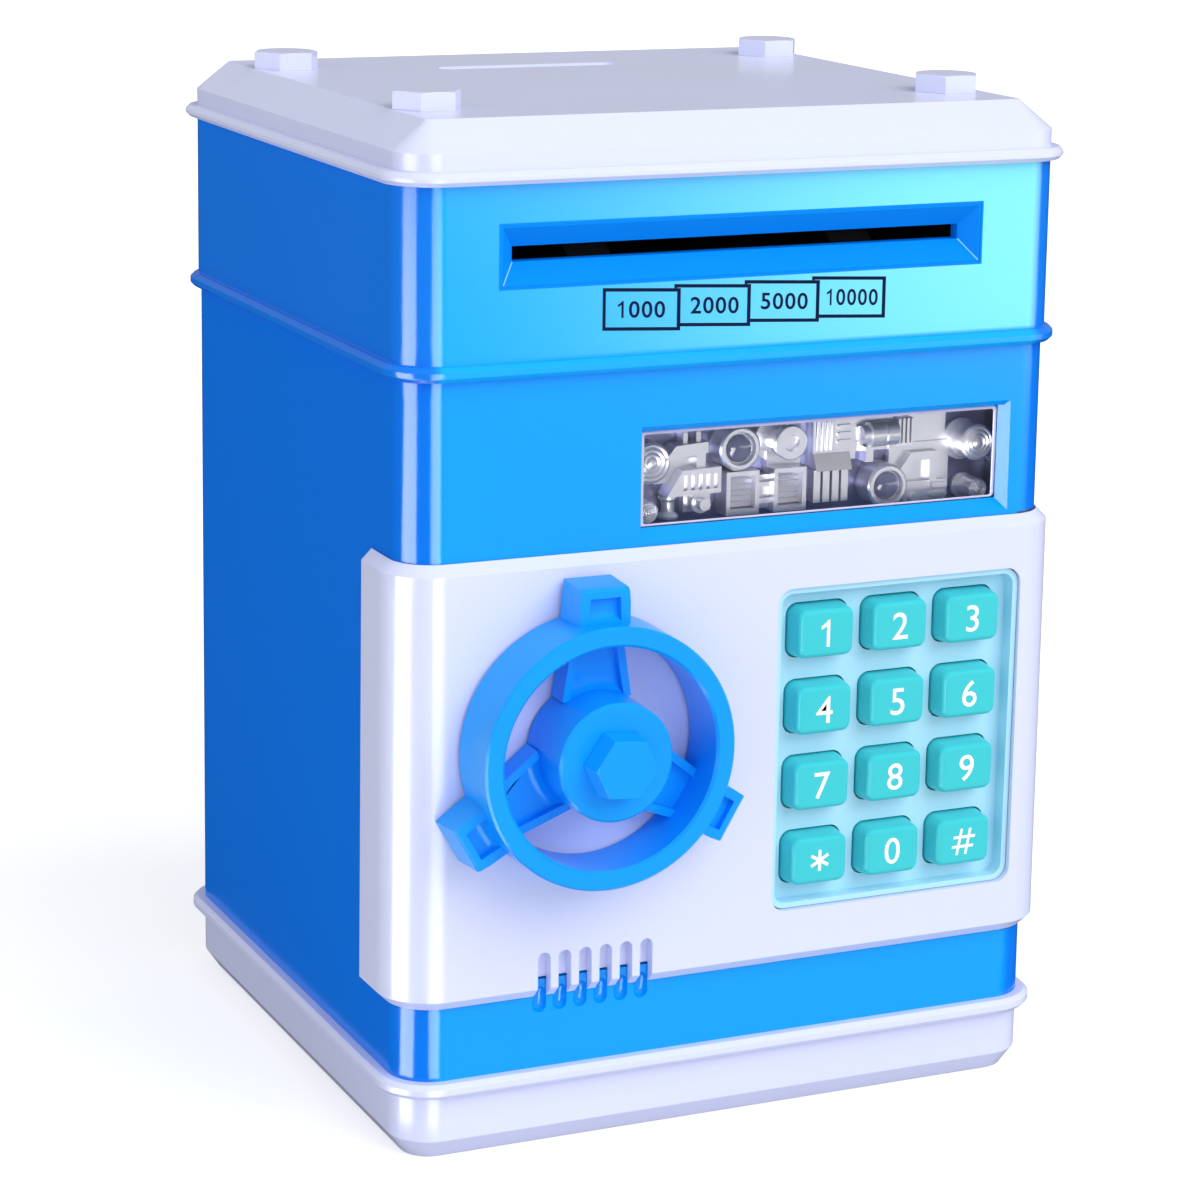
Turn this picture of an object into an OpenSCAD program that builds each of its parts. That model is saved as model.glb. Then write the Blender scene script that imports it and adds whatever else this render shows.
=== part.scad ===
// Toy cash machine that works as a coin bank, millimetres.
// Origin: centre of the footprint on the floor. +Z up, the front faces -Y, +X runs to the right.

/* [Cabinet] */
// Width of the blue cabinet at mid height
body_w = 128.8; // [124:0.2:150]
// Depth of the blue cabinet at mid height
body_d = 119.2; // [116:0.2:140]
// Radius of the cabinet's upright corners
corner_r = 7.5; // [7:0.5:9]
// Lean of each wall, outward per millimetre going down
draft = 0.0066; // [0:0.0002:0.008]
// Thickness of the moulded walls
wall = 2.2; // [2:0.1:2.6]
// Height of the white base
base_h = 15.4; // [15.4:0.2:18]
// Height of the lower cabinet
lower_h = 127; // [127:0.5:150]
// Height of the upper cabinet with its belt
upper_h = 33.5; // [33.5:0.5:40]
// Gap between parts that stay together
seat_gap = 0.15; // [0.1:0.05:0.25]

/* [Base] */
// Height of the chamfer under the base
foot_h = 3.8; // [3:0.1:5]
// How far the chamfer draws the foot in
foot_in = 2.6; // [1:0.1:3]
// How far the base flange stands out
flange_out = 2.4; // [1:0.1:3]
// Height of the base flange
flange_h = 2.8; // [2:0.1:4]
// Thickness of the base floor
floor_t = 2; // [1.8:0.1:2.5]
// Diameter of one battery cell
cell_d = 14.2; // [13.5:0.1:14.5]
// Length of one battery cell without its button
cell_l = 49.2; // [48:0.1:50.5]
// Distance of the battery bay's middle behind the cabinet's middle
bay_back = 29; // [28:0.5:30]

/* [Lid] */
// How far the lid flange stands out
lid_flange_out = 2.3; // [1:0.1:3]
// Height of the lid flange
lid_flange_h = 2.3; // [2:0.1:3]
// Height of the lid's upright wall above its flange
lid_wall_h = 3.1; // [2:0.1:5]
// Height of the lid's slope
lid_slope_h = 5.2; // [4:0.1:6]
// How far the slope runs in
lid_slope_in = 6.2; // [5:0.1:6.5]
// Distance across the corners of a bolt head
bolt_ac = 12.8; // [10:0.2:13]
// Height of a bolt head
bolt_h = 3.3; // [2:0.1:4]
// Distance of the bolts from the middle, sideways
bolt_x = 51.7; // [48:0.1:51.7]
// Distance of the bolts from the middle, front to back
bolt_y = 36.7; // [30:0.1:42]
// Length of the coin slot
coin_l = 36; // [30:0.5:40]
// Width of the coin slot
coin_w = 3.4; // [3:0.1:3.8]
// Place of the coin slot, left of the middle
coin_left = 4.8; // [0:0.1:8]
// Place of the coin slot, behind the middle
coin_back = 28; // [22:0.5:30]

/* [Door] */
// Height of the door's lower edge above the base
door_sill = 13.8; // [13.8:0.1:15]
// Height of the door
door_h = 81.3; // [81:0.1:84]
// How far the door stands proud of the cabinet
door_proud = 2.3; // [2.2:0.1:2.8]
// Gap between the door's shell and the cabinet
door_gap = 0.3; // [0.25:0.05:0.35]
// How far the door reaches back round the sides
door_wrap = 16; // [15:0.5:17]
// How far the door laps over the cabinet above and below its opening
door_lap = 3; // [2.5:0.1:3.5]
// Radius of the hinge barrel
barrel_r = 4.1; // [3.8:0.1:4.1]
// Radius of the hinge pins
pin_r = 1; // [0.8:0.05:1.2]
// Running clearance round pins and shafts
run_gap = 0.05; // [0.03:0.01:0.08]

/* [Handwheel] */
// Distance of the wheel's axis left of the middle
wheel_left = 31.5; // [30:0.1:32]
// Height of the wheel's axis above the door's lower edge
wheel_up = 47.4; // [45:0.1:48]
// Outer radius of the rim
rim_r = 24; // [20:0.1:25]
// Width of the rim seen from the front
rim_w = 3.7; // [3:0.1:5]
// Depth of the rim, front to back
rim_d = 12; // [8:0.1:13]
// Radius of the hub
hub_r = 10.8; // [10:0.1:12]
// Depth of the hub
hub_d = 13.9; // [12:0.1:15]
// Distance across the corners of the hexagon on the hub
hex_ac = 12.6; // [10:0.1:14]
// How far the hexagon stands out of the hub
hex_h = 4.6; // [3:0.1:5]
// Depth of the arms
arm_d = 4.9; // [4:0.1:6]
// Depth of the lugs outside the rim
lug_d = 8.0; // [6:0.1:10]
// Reach of the lugs from the axis, at their foot
lug_r = 30.3; // [28:0.1:31]
// Gap between the wheel and the door
wheel_gap = 0.75; // [0.4:0.05:1]

/* [Keypad] */
// Width of the keypad recess
pad_w = 50.2; // [48:0.1:50.4]
// Height of the keypad recess
pad_h = 60.9; // [58:0.1:61]
// Depth of the recess floor under the door's face
pad_deep = 4; // [3:0.1:4.5]
// Distance of the recess's middle right of the cabinet's middle
pad_right = 32.1; // [31:0.1:32.1]
// Height of the recess's middle above the door's lower edge
pad_up = 40.95; // [40:0.05:41]
// Distance between key columns
key_pitch_x = 15.25; // [14:0.05:15.5]
// Distance between key rows
key_pitch_z = 14.45; // [13:0.05:14.6]
// Width of a key
key_w = 12.1; // [10:0.1:12.3]
// Height of a key
key_h = 9.8; // [9:0.1:10.5]
// How far a key stands out of the recess floor
key_out = 4.2; // [2:0.1:4.6]
// Travel of a key
key_travel = 1.2; // [0.8:0.1:1.4]
// Gap round a key in its hole
key_gap = 0.3; // [0.25:0.05:0.4]

/* [Note slot] */
// Width of the funnel's mouth
mouth_w = 94.2; // [90:0.2:96]
// Height of the funnel's mouth
mouth_h = 10.9; // [9:0.1:12]
// Width of the slot at the funnel's bottom
slot_w = 87.6; // [80:0.2:88]
// Height of the slot
slot_h = 2.7; // [2.2:0.1:3.2]
// Depth of the funnel
mouth_deep = 3; // [2:0.1:3.2]
// Height of the slot's middle above the belt's foot
slot_up = 21; // [20:0.1:21.4]

/* [Window] */
// Left edge of the window, from the cabinet's middle
window_x0 = -19.8; // [-24:0.1:-18]
// Right edge of the window, from the cabinet's middle
window_x1 = 55.1; // [50:0.1:55.2]
// Gap between the door's top and the window's lower edge
window_up = 0.9; // [0.9:0.1:3]
// Height of the window
window_h = 19.6; // [16:0.1:20]
// Slope of the window's lower and right edges
window_bevel = 2; // [1:0.1:2.1]
// Chamfer along the window's upper edge
window_head = 1.1; // [0.4:0.1:1.4]

/* [Note feeder] */
// Radius of the rubber drive rollers
drive_r = 6; // [5:0.1:6.5]
// Radius of the idler rollers
idler_r = 4; // [3:0.1:4.2]
// Radius of the feeder's shafts
shaft_r = 1.5; // [1.2:0.1:2]
// Size of one gear tooth (module)
tooth = 0.8; // [0.7:0.05:0.8]
// Number of teeth on the drive gear
gear_teeth = 24; // [20:1:24]
// Number of teeth on the motor pinion
pinion_teeth = 10; // [10:1:11]

/* [Hidden] */

over = 1;                       // how far a cut runs past the face it opens
soft = 0.8;                     // size of the small softened edges on flanges and keys
core_x = body_w / 2 - corner_r; // the rounded boxes share these corner centres
core_y = body_d / 2 - corner_r;
draft_z = 78.6;                 // height at which the corner radius is corner_r
belt_z = base_h + lower_h;
top_z = belt_z + upper_h;
lid_top = top_z + lid_flange_h + lid_wall_h + lid_slope_h;
upper_step = 0.54;              // the upper cabinet stands out this much over the lower
belt_out = 1.6;
belt_h = 2.7;
lip_t = 1.6;                    // thickness of the lips that plug one shell into the next
door_z0 = base_h + door_sill;
door_z1 = door_z0 + door_h;
door_back = door_wrap - body_d / 2;
pivot_x = body_w / 2 - 2;
pivot_y = door_back - 4.9;
pin_l = 12;

function body_r(z) = corner_r + draft * (draft_z - z);
function upper_r(z) = body_r(z) + upper_step;
function body_front(z) = -core_y - body_r(z);
function upper_front(z) = -core_y - upper_r(z);

door_mid = (door_z0 + door_z1) / 2;
door_face = body_front(door_mid) - door_proud;     // front plane of the door
shell_back = body_front(door_mid) - door_gap;      // back of the door's shell
shell_in = shell_back + draft * door_h / 2;        // its rearmost line, at the top
box_t = 1.6;                                       // wall of the box behind the door
box_x0 = 8.9 - body_w / 2;
box_x1 = pivot_x - barrel_r - 0.1;
box_z0 = door_z0 + door_lap + 0.4;
box_z1 = door_z1 - door_lap - 0.4;
cover_y = shell_in + 12.9;                         // front of the door's back cover
cover_t = 1.6;
latch_y = cover_y + cover_t + 0.4;
latch_t = 2.2;
wheel_z = door_z0 + wheel_up;
wheel_back = -door_face + wheel_gap;               // distance of the wheel's back in front of the middle
cam_y = shell_in + 6.4;
cam_t = 2;
cam_r = 11;
spindle_r = 4;

pad_z = door_z0 + pad_up;
pad_floor = door_face + pad_deep;
pad_floor_t = 1.6;
pad_wall = 1;
pad_set_back = 1;                                  // the tray's rim lies this far behind the door's face
key_hole_w = key_w + 2 * key_gap;
key_hole_h = key_h + 2 * key_gap;
key_r = 2;
flange_gap = 0.25;                                 // a resting key's flange behind the floor
key_flange_t = 1;
key_back = pad_floor + pad_floor_t + flange_gap + key_flange_t;
dome_h = 1.3;
sheet_y = key_back + key_travel + 0.2 + dome_h;    // front of the rubber sheet
sheet_t = 1;
pcb_t = 1.6;

window_z0 = door_z1 + window_up;
window_z1 = window_z0 + window_h;
window_front = body_front(window_z0 + window_h / 2);
window_in = body_front(window_z1 + 1.4) + wall;    // rearmost line of the wall behind the window
window_side = window_x1 - 0.8 * window_bevel;      // where the window's right slope ends
lens_x0 = window_x0 - 1.2;
lens_x1 = window_x1 + 1.6;
lens_z0 = window_z0 - 0.9;
lens_z1 = window_z1 + 1.4;
insert_y = window_in + 8.9;                        // front of the relief's floor
insert_t = 1.5;

slot_z = belt_z + slot_up;
slot_front = upper_front(slot_z);
slot_in = upper_front(slot_z + mouth_h) + wall + 0.1;
throat_y = slot_in + 3;                            // back of the slot's throat, where the note guides start
shaft_y = slot_front + 14.6;
drive_z = slot_z - drive_r - 0.15;
idler_z = slot_z + idler_r + 0.15;
plate_x = slot_w / 2 + 1.5;                        // inner face of the feeder's side plates
plate_t = 1.6;
gear_x = plate_x + plate_t + 0.8;
gear_t = 3;
mesh = tooth * (gear_teeth + pinion_teeth) / 2 + 0.1;
mesh_angle = 75;                                   // the motor sits this far round below the drive shaft
motor_y = shaft_y + mesh * cos(mesh_angle);
motor_z = drive_z - mesh * sin(mesh_angle);
motor_l = 25;
motor_r = 10;
motor_flat = 6.9;

boss_x = 50;
boss_y = 45;
post_top = base_h + 13;                            // the cabinet's corner posts carry the money floor
money_t = 1.6;
bay_l = cell_l + 8.6;
bay_w = 3 * cell_d + 2.6;
bay_t = 1.6;
bay_tab_x = bay_l / 2 + bay_t + 4;                    // the cover's screw tab
cell_z = 2 * floor_t + cell_d / 2 - 0.8;
bay_top = cell_z + cell_d / 2 + 0.6;
cell_pitch = cell_d + 0.4;
speaker_x = -28;
speaker_y = -34;
speaker_r = 18;

// A box whose upright corners are round. The profile lists [distance out from the core, height]
// from the bottom to the top, so walls may lean and flanges may stand out.
module soft_box(profile) {
    last = len(profile) - 1;
    for (sx = [-1, 1], sy = [-1, 1])
        translate([sx * core_x, sy * core_y, 0])
            rotate_extrude($fn = 96)
                polygon(concat([[0, profile[0][1]]], profile, [[0, profile[last][1]]]));
    rotate([90, 0, 0])
        linear_extrude(2 * core_y, center = true) polygon(slab(profile, core_x));
    rotate([90, 0, 90])
        linear_extrude(2 * core_x, center = true) polygon(slab(profile, core_y));
}

function slab(profile, core) = concat(
    [for (p = profile) [core + p[0], p[1]]],
    [for (i = [len(profile) - 1 : -1 : 0]) [-core - profile[i][0], profile[i][1]]]);

// A box given by its two opposite corners.
module block(low, high) {
    translate(low) cube(high - low);
}

// Children are drawn facing the front: their +Z points to -Y, from the plane y.
module facing(x, y, z) {
    translate([x, y, z]) rotate([90, 0, 0]) children();
}

// A flat outline with round corners, centred.
module round_rect(w, h, r) {
    square([w - 2 * r, h], center = true);
    square([w, h - 2 * r], center = true);
    for (sx = [-1, 1], sy = [-1, 1])
        translate([sx * (w / 2 - r), sy * (h / 2 - r)]) circle(r, $fn = 48);
}

// A screw with a pan head, its head's seat at z = 0 and its shank along -Z.
module pan_screw(shank_r, shank_l, head_r, head_h) {
    rotate_extrude($fn = 48)
        polygon([[0, -shank_l], [shank_r, -shank_l], [shank_r, 0], [head_r, 0], [head_r, head_h * 0.5],
            [head_r * 0.6, head_h], [0, head_h]]);
}

// Base

base_r = body_r(base_h);
base_lip_r = base_r - wall - seat_gap;

module base() {
    color("lavender") difference() {
        union() {
            soft_box([[base_r - foot_in, 0], [base_r, foot_h], [base_r, base_h - flange_h - 0.4],
                [base_r + flange_out - soft, base_h - flange_h],
                [base_r + flange_out, base_h - flange_h + soft],
                [base_r + flange_out, base_h - soft], [base_r + flange_out - soft, base_h]]);
            soft_box([[base_lip_r, base_h - over], [base_lip_r, base_h + 3.5]]);
        }
        difference() {
            soft_box([[base_lip_r - lip_t - 1.4, floor_t], [base_lip_r - lip_t, foot_h],
                [base_lip_r - lip_t, base_h + 3.5 + over]]);
            base_inside();
        }
        base_bores();
    }
}

// What stands on the base floor: the battery bay, the screw pillars and the speaker's ring.
module base_inside() {
    difference() {
        translate([0, bay_back, 0])
            block([-bay_l / 2 - bay_t, -bay_w / 2 - bay_t, 0],
                [bay_l / 2 + bay_t, bay_w / 2 + bay_t, bay_top + bay_t]);
        translate([0, bay_back, 0])
            block([-bay_l / 2, -bay_w / 2, -over], [bay_l / 2, bay_w / 2, bay_top]);
    }
    for (sx = [-1, 1], sy = [-1, 1])
        translate([sx * boss_x, sy * boss_y, 0]) cylinder(r = 4.4, h = base_h, $fn = 48);
    translate([speaker_x, speaker_y, 0]) difference() {
        cylinder(r = speaker_r + 1.2, h = floor_t + 3.4, $fn = 96);
        translate([0, 0, floor_t + 1.6]) cylinder(r = speaker_r + seat_gap, h = 4, $fn = 96);
        translate([0, 0, floor_t]) cylinder(r = speaker_r - 2, h = 4, $fn = 96);
    }
    translate([bay_tab_x, bay_back, 0]) {
        cylinder(r = 6.6, h = floor_t + 1.6, $fn = 48);
        cylinder(r = 3.4, h = 12, $fn = 48);
    }
}

module base_bores() {
    translate([0, bay_back, 0])
        block([-bay_l / 2, -bay_w / 2, -over], [bay_l / 2, bay_w / 2, bay_top]);
    translate([0, bay_back, 0])
        block([-cover_l / 2 - 0.2, -cover_w / 2 - 0.2, -over],
            [cover_l / 2 + 0.2, cover_w / 2 + 0.2, floor_t]);
    translate([bay_tab_x, bay_back, -over]) cylinder(r = 5.2, h = floor_t + over, $fn = 48);
    translate([bay_tab_x, bay_back, -over]) cylinder(r = 1.2, h = 10, $fn = 48);
    for (sx = [-1, 1], sy = [-1, 1]) translate([sx * boss_x, sy * boss_y, -over]) {
        cylinder(r = 3.1, h = 7 + over, $fn = 48);
        cylinder(r = 1.7, h = base_h + 2 * over, $fn = 48);
    }
}

module base_screws() {
    color("silver") for (sx = [-1, 1], sy = [-1, 1])
        translate([sx * boss_x, sy * boss_y, 7]) rotate([180, 0, 0]) pan_screw(1.25, 16, 2.8, 1.9);
}

cover_l = bay_l + 2 * bay_t - 0.8;
cover_w = bay_w + 2 * bay_t - 0.8;

module battery_cover() {
    color("lavender") translate([0, bay_back, 0]) difference() {
        union() {
            block([-cover_l / 2, -cover_w / 2, 0.3], [cover_l / 2, cover_w / 2, floor_t - 0.02]);
            translate([bay_tab_x, 0, 0.3]) cylinder(r = 5, h = floor_t - 0.32, $fn = 48);
            for (i = [-1, 0, 1])
                block([-18, i * cell_pitch - 1, floor_t - 0.1],
                    [18, i * cell_pitch + 1, cell_z - cell_d / 2 - 0.1]);
        }
        translate([bay_tab_x, 0, -over]) cylinder(r = 1.5, h = 4, $fn = 48);
        translate([bay_tab_x, 0, -over]) cylinder(r = 2.7, h = over + 1, $fn = 48);
        for (i = [-2 : 2])
            block([-cover_l / 2 + 4, i * 3 - 0.6, -over], [-cover_l / 2 + 12, i * 3 + 0.6, 0.8]);
    }
}

module battery_screw() {
    color("silver") translate([bay_tab_x, bay_back, 1])
        rotate([180, 0, 0]) pan_screw(1.1, 8, 2.4, 0.8);
}

module battery_cells() {
    for (i = [-1, 0, 1])
        translate([-(cell_l + 1.2) / 2, bay_back + i * cell_pitch, cell_z])
            rotate([0, 90, 0]) battery_cell(i == 0);
}

// One cell with its button at the far end, or at the near end where it is turned round.
module battery_cell(turned) {
    color("slategray") translate([0, 0, turned ? cell_l + 1.2 : 0]) mirror([0, 0, turned ? 1 : 0])
        rotate_extrude($fn = 64)
            polygon([[0, 0], [cell_d / 2 - 0.5, 0], [cell_d / 2, 0.5], [cell_d / 2, cell_l - 0.5],
                [cell_d / 2 - 0.5, cell_l], [2.7, cell_l], [2.7, cell_l + 1.2], [0, cell_l + 1.2]]);
}

// Leaf contacts at both ends of the bay, each a plate with a pressed tongue.
module battery_contacts() {
    color("silver") for (sx = [-1, 1], i = [-1, 0, 1])
        translate([sx * (bay_l / 2 - 0.1), bay_back + i * cell_pitch, cell_z]) rotate([0, -90 * sx, 0]) {
            translate([-5.5, -5, 0]) cube([11, 10, 0.4]);
            translate([0, 0, 0.3])
                cylinder(r1 = 3.2, r2 = 2.2, h = (bay_l - cell_l - 1.2) / 2 - 0.6, $fn = 48);
        }
}

// Lower cabinet

module lower_body() {
    color("dodgerblue") difference() {
        union() {
            difference() {
                soft_box([[body_r(base_h), base_h], [body_r(belt_z), belt_z]]);
                soft_box([[body_r(base_h) - wall, base_h - over], [body_r(belt_z) - wall, belt_z + over]]);
            }
            cabinet_inside();
        }
        door_opening();
        window_cut();
        for (i = [0 : 5]) body_vent(i);
        for (z = [door_z0 - door_gap - over, door_z1 + door_gap + over])
            translate([pivot_x, pivot_y, z + (z > door_mid ? -2 * over : -pin_l / 2)])
                cylinder(r = pin_r + 0.02, h = pin_l / 2 + 2 * over, $fn = 48);
        for (sx = [-1, 1], sy = [-1, 1])
            translate([sx * boss_x, sy * boss_y, base_h - over]) cylinder(r = 1.3, h = 30, $fn = 48);
        for (p = window_posts) facing(p[0], window_in + 12, p[1]) cylinder(r = 1.1, h = 12, $fn = 32);
    }
}

// Posts, jambs, hinge ears and the latch's catch, inside the lower cabinet.
module cabinet_inside() {
    in_x = core_x + body_r(base_h) - 1;
    for (sx = [-1, 1], sy = [-1, 1]) {
        translate([sx * boss_x, sy * boss_y, base_h]) cylinder(r = 4, h = post_top - base_h, $fn = 48);
        mirror([sx < 0 ? 1 : 0, 0, 0])
            block([boss_x + 3, sy * boss_y - 1, base_h + 5], [in_x, sy * boss_y + 1, post_top]);
    }
    jamb = body_front(base_h) + 1;
    for (z = [door_z0 + door_lap - 1.8, door_z1 - door_lap])
        block([-core_x, jamb, z], [core_x, jamb + 7.4, z + 1.8]);
    ear = pin_l / 2 + 1.2;
    for (z = [door_z0 - door_gap - ear, door_z1 + door_gap])
        block([pivot_x - 4, pivot_y - 4, z], [pivot_x + 1, pivot_y + 4, z + ear]);
    catch_y = latch_y - 0.3;
    catch_x = -core_x - body_r(wheel_z);
    block([catch_x + 1, catch_y - 2.6, wheel_z - 9], [catch_x + wall + 4.6, catch_y, wheel_z + 9]);
    block([catch_x + 1, catch_y - 2.6, wheel_z - 9], [catch_x + wall + 4.6, catch_y + 5, wheel_z - 7.6]);
    for (p = window_posts)
        facing(p[0], insert_y, p[1]) cylinder(r = 2.6, h = insert_y - window_in + 1, $fn = 48);
}

module door_opening() {
    z0 = door_z0 + door_lap;
    z1 = door_z1 - door_lap;
    far = -body_d;
    block([-body_w, far, z0], [0, door_back - 3.9, z1]);
    block([-over, far, z0], [body_w, pivot_y + 5.2, z1]);
    block([box_x1 - 0.8, far, door_z0 - door_gap], [body_w, pivot_y + 5.2, door_z1 + door_gap]);
}

// Window: a hole whose lower and right edges slope in to the lens, with a chamfer over it.
module window_cut() {
    front = window_front;
    back = window_in + over;
    b = window_bevel;
    intersection() {
        rotate([90, 0, 90]) linear_extrude(body_w * 2, center = true)
            polygon([[front - over, window_z0 - over], [front + b, window_z0 + b], [back, window_z0 + b],
                [back, window_z1], [front + window_head, window_z1],
                [front - over, window_z1 + window_head + over]]);
        linear_extrude(belt_z)
            polygon([[window_x0, front - over], [window_x0, back], [window_side, back],
                [window_side, front + b], [window_x1 + 0.8 * over, front - over]]);
    }
}

vent_pitch = 4.03;
vent_x0 = -38.6;
vent_w = 2.7;
vent_low = 3.3;                 // how far the grooves run on below the door
vent_high = 8.8;                // and how far they rise in it

// One groove in the cabinet below the door, round at its foot.
module body_vent(i) {
    r = vent_w / 2;
    low = door_z0 - vent_low + r;
    y = body_front(door_z0);
    translate([vent_x0 + i * vent_pitch, y, low]) {
        cylinder(r = r, h = door_lap - 1.4 + vent_low - 2 * r, $fn = 32);
        sphere(r, $fn = 32);
        translate([0, 0, door_lap - 1.4 + vent_low - 2 * r]) sphere(r, $fn = 32);
    }
}

module money_floor() {
    r = body_r(post_top + money_t) - wall - 0.25;
    color("dodgerblue") difference() {
        soft_box([[r, post_top], [r, post_top + money_t]]);
        block([pivot_x - barrel_r - 4.4, -body_d, post_top - over],
            [body_w, pivot_y + 5.8, post_top + money_t + over]);
        for (sx = [-1, 1], sy = [-1, 1])
            translate([sx * boss_x, sy * boss_y, post_top - over]) cylinder(r = 1.7, h = 5, $fn = 48);
    }
}

module floor_screws() {
    color("silver") for (sx = [-1, 1], sy = [-1, 1])
        translate([sx * boss_x, sy * boss_y, post_top + money_t]) pan_screw(1.25, 5, 2.8, 1.4);
}

module speaker() {
    color("dimgray") translate([speaker_x, speaker_y, floor_t + 1.6]) rotate_extrude($fn = 96)
        polygon([[0, 1.2], [4.5, 2.2], [14.5, 0.3], [16, 0.9], [16.6, 0], [speaker_r, 0], [speaker_r, 1.2],
            [16.8, 1.2], [9.6, 4.2], [9.6, 8], [0, 8]]);
}

// Upper cabinet

module upper_body() {
    foot_r = body_r(belt_z) - wall - seat_gap;
    belt_r = upper_r(belt_z) + belt_out;
    color("deepskyblue") difference() {
        union() {
            difference() {
                union() {
                    soft_box([[belt_r - soft, belt_z], [belt_r, belt_z + soft],
                        [belt_r, belt_z + belt_h - soft], [belt_r - soft, belt_z + belt_h]]);
                    soft_box([[upper_r(belt_z), belt_z + 0.5], [upper_r(top_z), top_z]]);
                    soft_box([[foot_r, belt_z - 3.5], [foot_r, belt_z + over]]);
                }
                soft_box([[foot_r - lip_t, belt_z - 3.5 - over], [foot_r - lip_t, belt_z + 2],
                    [upper_r(belt_z) - wall, belt_z + 3.6], [upper_r(top_z) - wall, top_z + over]]);
            }
            upper_inside();
        }
        block([-mouth_w / 2 - seat_gap, slot_front - 5, slot_z - mouth_h / 2 - seat_gap],
            [mouth_w / 2 + seat_gap, slot_front + 5, slot_z + mouth_h / 2 + seat_gap]);
        for (sx = [-1, 1], sy = [-1, 1])
            translate([sx * bolt_x, sy * bolt_y, column_z - over])
                cylinder(r = 2 + run_gap, h = 20, $fn = 48);
        for (p = feeder_posts) facing(p[0], slot_front + 12, p[1]) cylinder(r = 1.1, h = 10.9, $fn = 32);
    }
}

column_z = top_z - 8;            // foot of the lid bolts' columns
lid_lip_h = 3;
feeder_post_z = slot_z - mouth_h / 2 - 6;
feeder_posts = [for (x = [-38, -12, 12, 38]) [x, feeder_post_z]];
frame_y = slot_in + 1.23;       // front of the feeder's front plate, just behind the bezel's flange

module upper_inside() {
    in_x = core_x + upper_r(top_z) - 1;
    for (sx = [-1, 1], sy = [-1, 1]) {
        translate([sx * bolt_x, sy * bolt_y, column_z]) cylinder(r = 4.2, h = top_z - column_z, $fn = 48);
        mirror([sx < 0 ? 1 : 0, 0, 0])
            block([bolt_x + 3, sy * bolt_y - 1, column_z], [in_x, sy * bolt_y + 1, top_z - lid_lip_h - 0.3]);
    }
    for (p = feeder_posts)
        facing(p[0], frame_y, p[1]) cylinder(r = 3, h = frame_y - slot_front - 1, $fn = 48);
}

// Funnel with four mitred slopes and the slot at its bottom; a flange holds it behind the wall.
module slot_bezel() {
    color("dodgerblue") difference() {
        union() {
            block([-mouth_w / 2, slot_front + 0.1, slot_z - mouth_h / 2],
                [mouth_w / 2, slot_in + 1.2, slot_z + mouth_h / 2]);
            block([-mouth_w / 2 - 1.2, slot_in, slot_z - mouth_h / 2 - 2],
                [mouth_w / 2 + 1.2, slot_in + 1.2, slot_z + mouth_h / 2 + 2]);
            block([-slot_w / 2 - 1, slot_in + over, slot_z - slot_h / 2 - 1.2],
                [slot_w / 2 + 1, throat_y, slot_z + slot_h / 2 + 1.2]);
        }
        intersection() {
            rotate([90, 0, 90]) linear_extrude(body_w * 2, center = true)
                funnel(mouth_h - 1, slot_h, slot_z);
            linear_extrude(top_z) rotate(-90) mirror([1, 0]) funnel(mouth_w - 1, slot_w, 0);
        }
        block([-slot_w / 2, slot_front, slot_z - slot_h / 2],
            [slot_w / 2, slot_front + 12, slot_z + slot_h / 2]);
    }
}

// Half section of the funnel across its mouth: [depth, position], centred on a line.
module funnel(mouth, throat, middle) {
    y = slot_front;
    polygon([[y - over, middle - mouth / 2 - 0.3], [y + 0.1, middle - mouth / 2],
        [y + mouth_deep, middle - throat / 2], [y + mouth_deep, middle + throat / 2],
        [y + 0.1, middle + mouth / 2], [y - over, middle + mouth / 2 + 0.3]]);
}

// Lid

module lid() {
    r = upper_r(top_z);
    lip_r = r - wall - seat_gap;
    z1 = top_z + lid_flange_h;
    z2 = z1 + lid_wall_h;
    skin = 2;
    color("lavender") difference() {
        union() {
            difference() {
                union() {
                    soft_box([[r + lid_flange_out - soft, top_z], [r + lid_flange_out, top_z + soft],
                        [r + lid_flange_out, z1 - soft], [r + lid_flange_out - soft, z1], [r, z1], [r, z2],
                        [r - lid_slope_in, lid_top]]);
                    soft_box([[lip_r, top_z - lid_lip_h], [lip_r, top_z + over]]);
                }
                soft_box([[lip_r - lip_t, top_z - lid_lip_h - over], [lip_r - lip_t, top_z + 1.2],
                    [r - wall, z1], [r - wall, z2 - 0.2], [r - lid_slope_in, lid_top - skin]]);
            }
            for (sx = [-1, 1], sy = [-1, 1])
                translate([sx * bolt_x, sy * bolt_y, top_z + 0.1])
                    cylinder(r = 4.2, h = lid_top - top_z - 1, $fn = 48);
            coin_slot(coin_l + 6, coin_w + 4, lid_top - 3, lid_top - 1);
        }
        coin_slot(coin_l, coin_w, lid_top - 12, lid_top + over);
        coin_slot(coin_l + 1.4, coin_w + 1.4, lid_top - 0.5, lid_top + over);
        for (sx = [-1, 1], sy = [-1, 1])
            translate([sx * bolt_x, sy * bolt_y, top_z - over]) cylinder(r = 2.1, h = 20, $fn = 48);
    }
}

// The coin slot's outline, with round ends, from z0 to z1.
module coin_slot(l, w, z0, z1) {
    translate([-coin_left, coin_back, z0]) linear_extrude(z1 - z0) {
        square([l - w, w], center = true);
        for (sx = [-1, 1]) translate([sx * (l - w) / 2, 0]) circle(w / 2, $fn = 48);
    }
}

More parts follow.
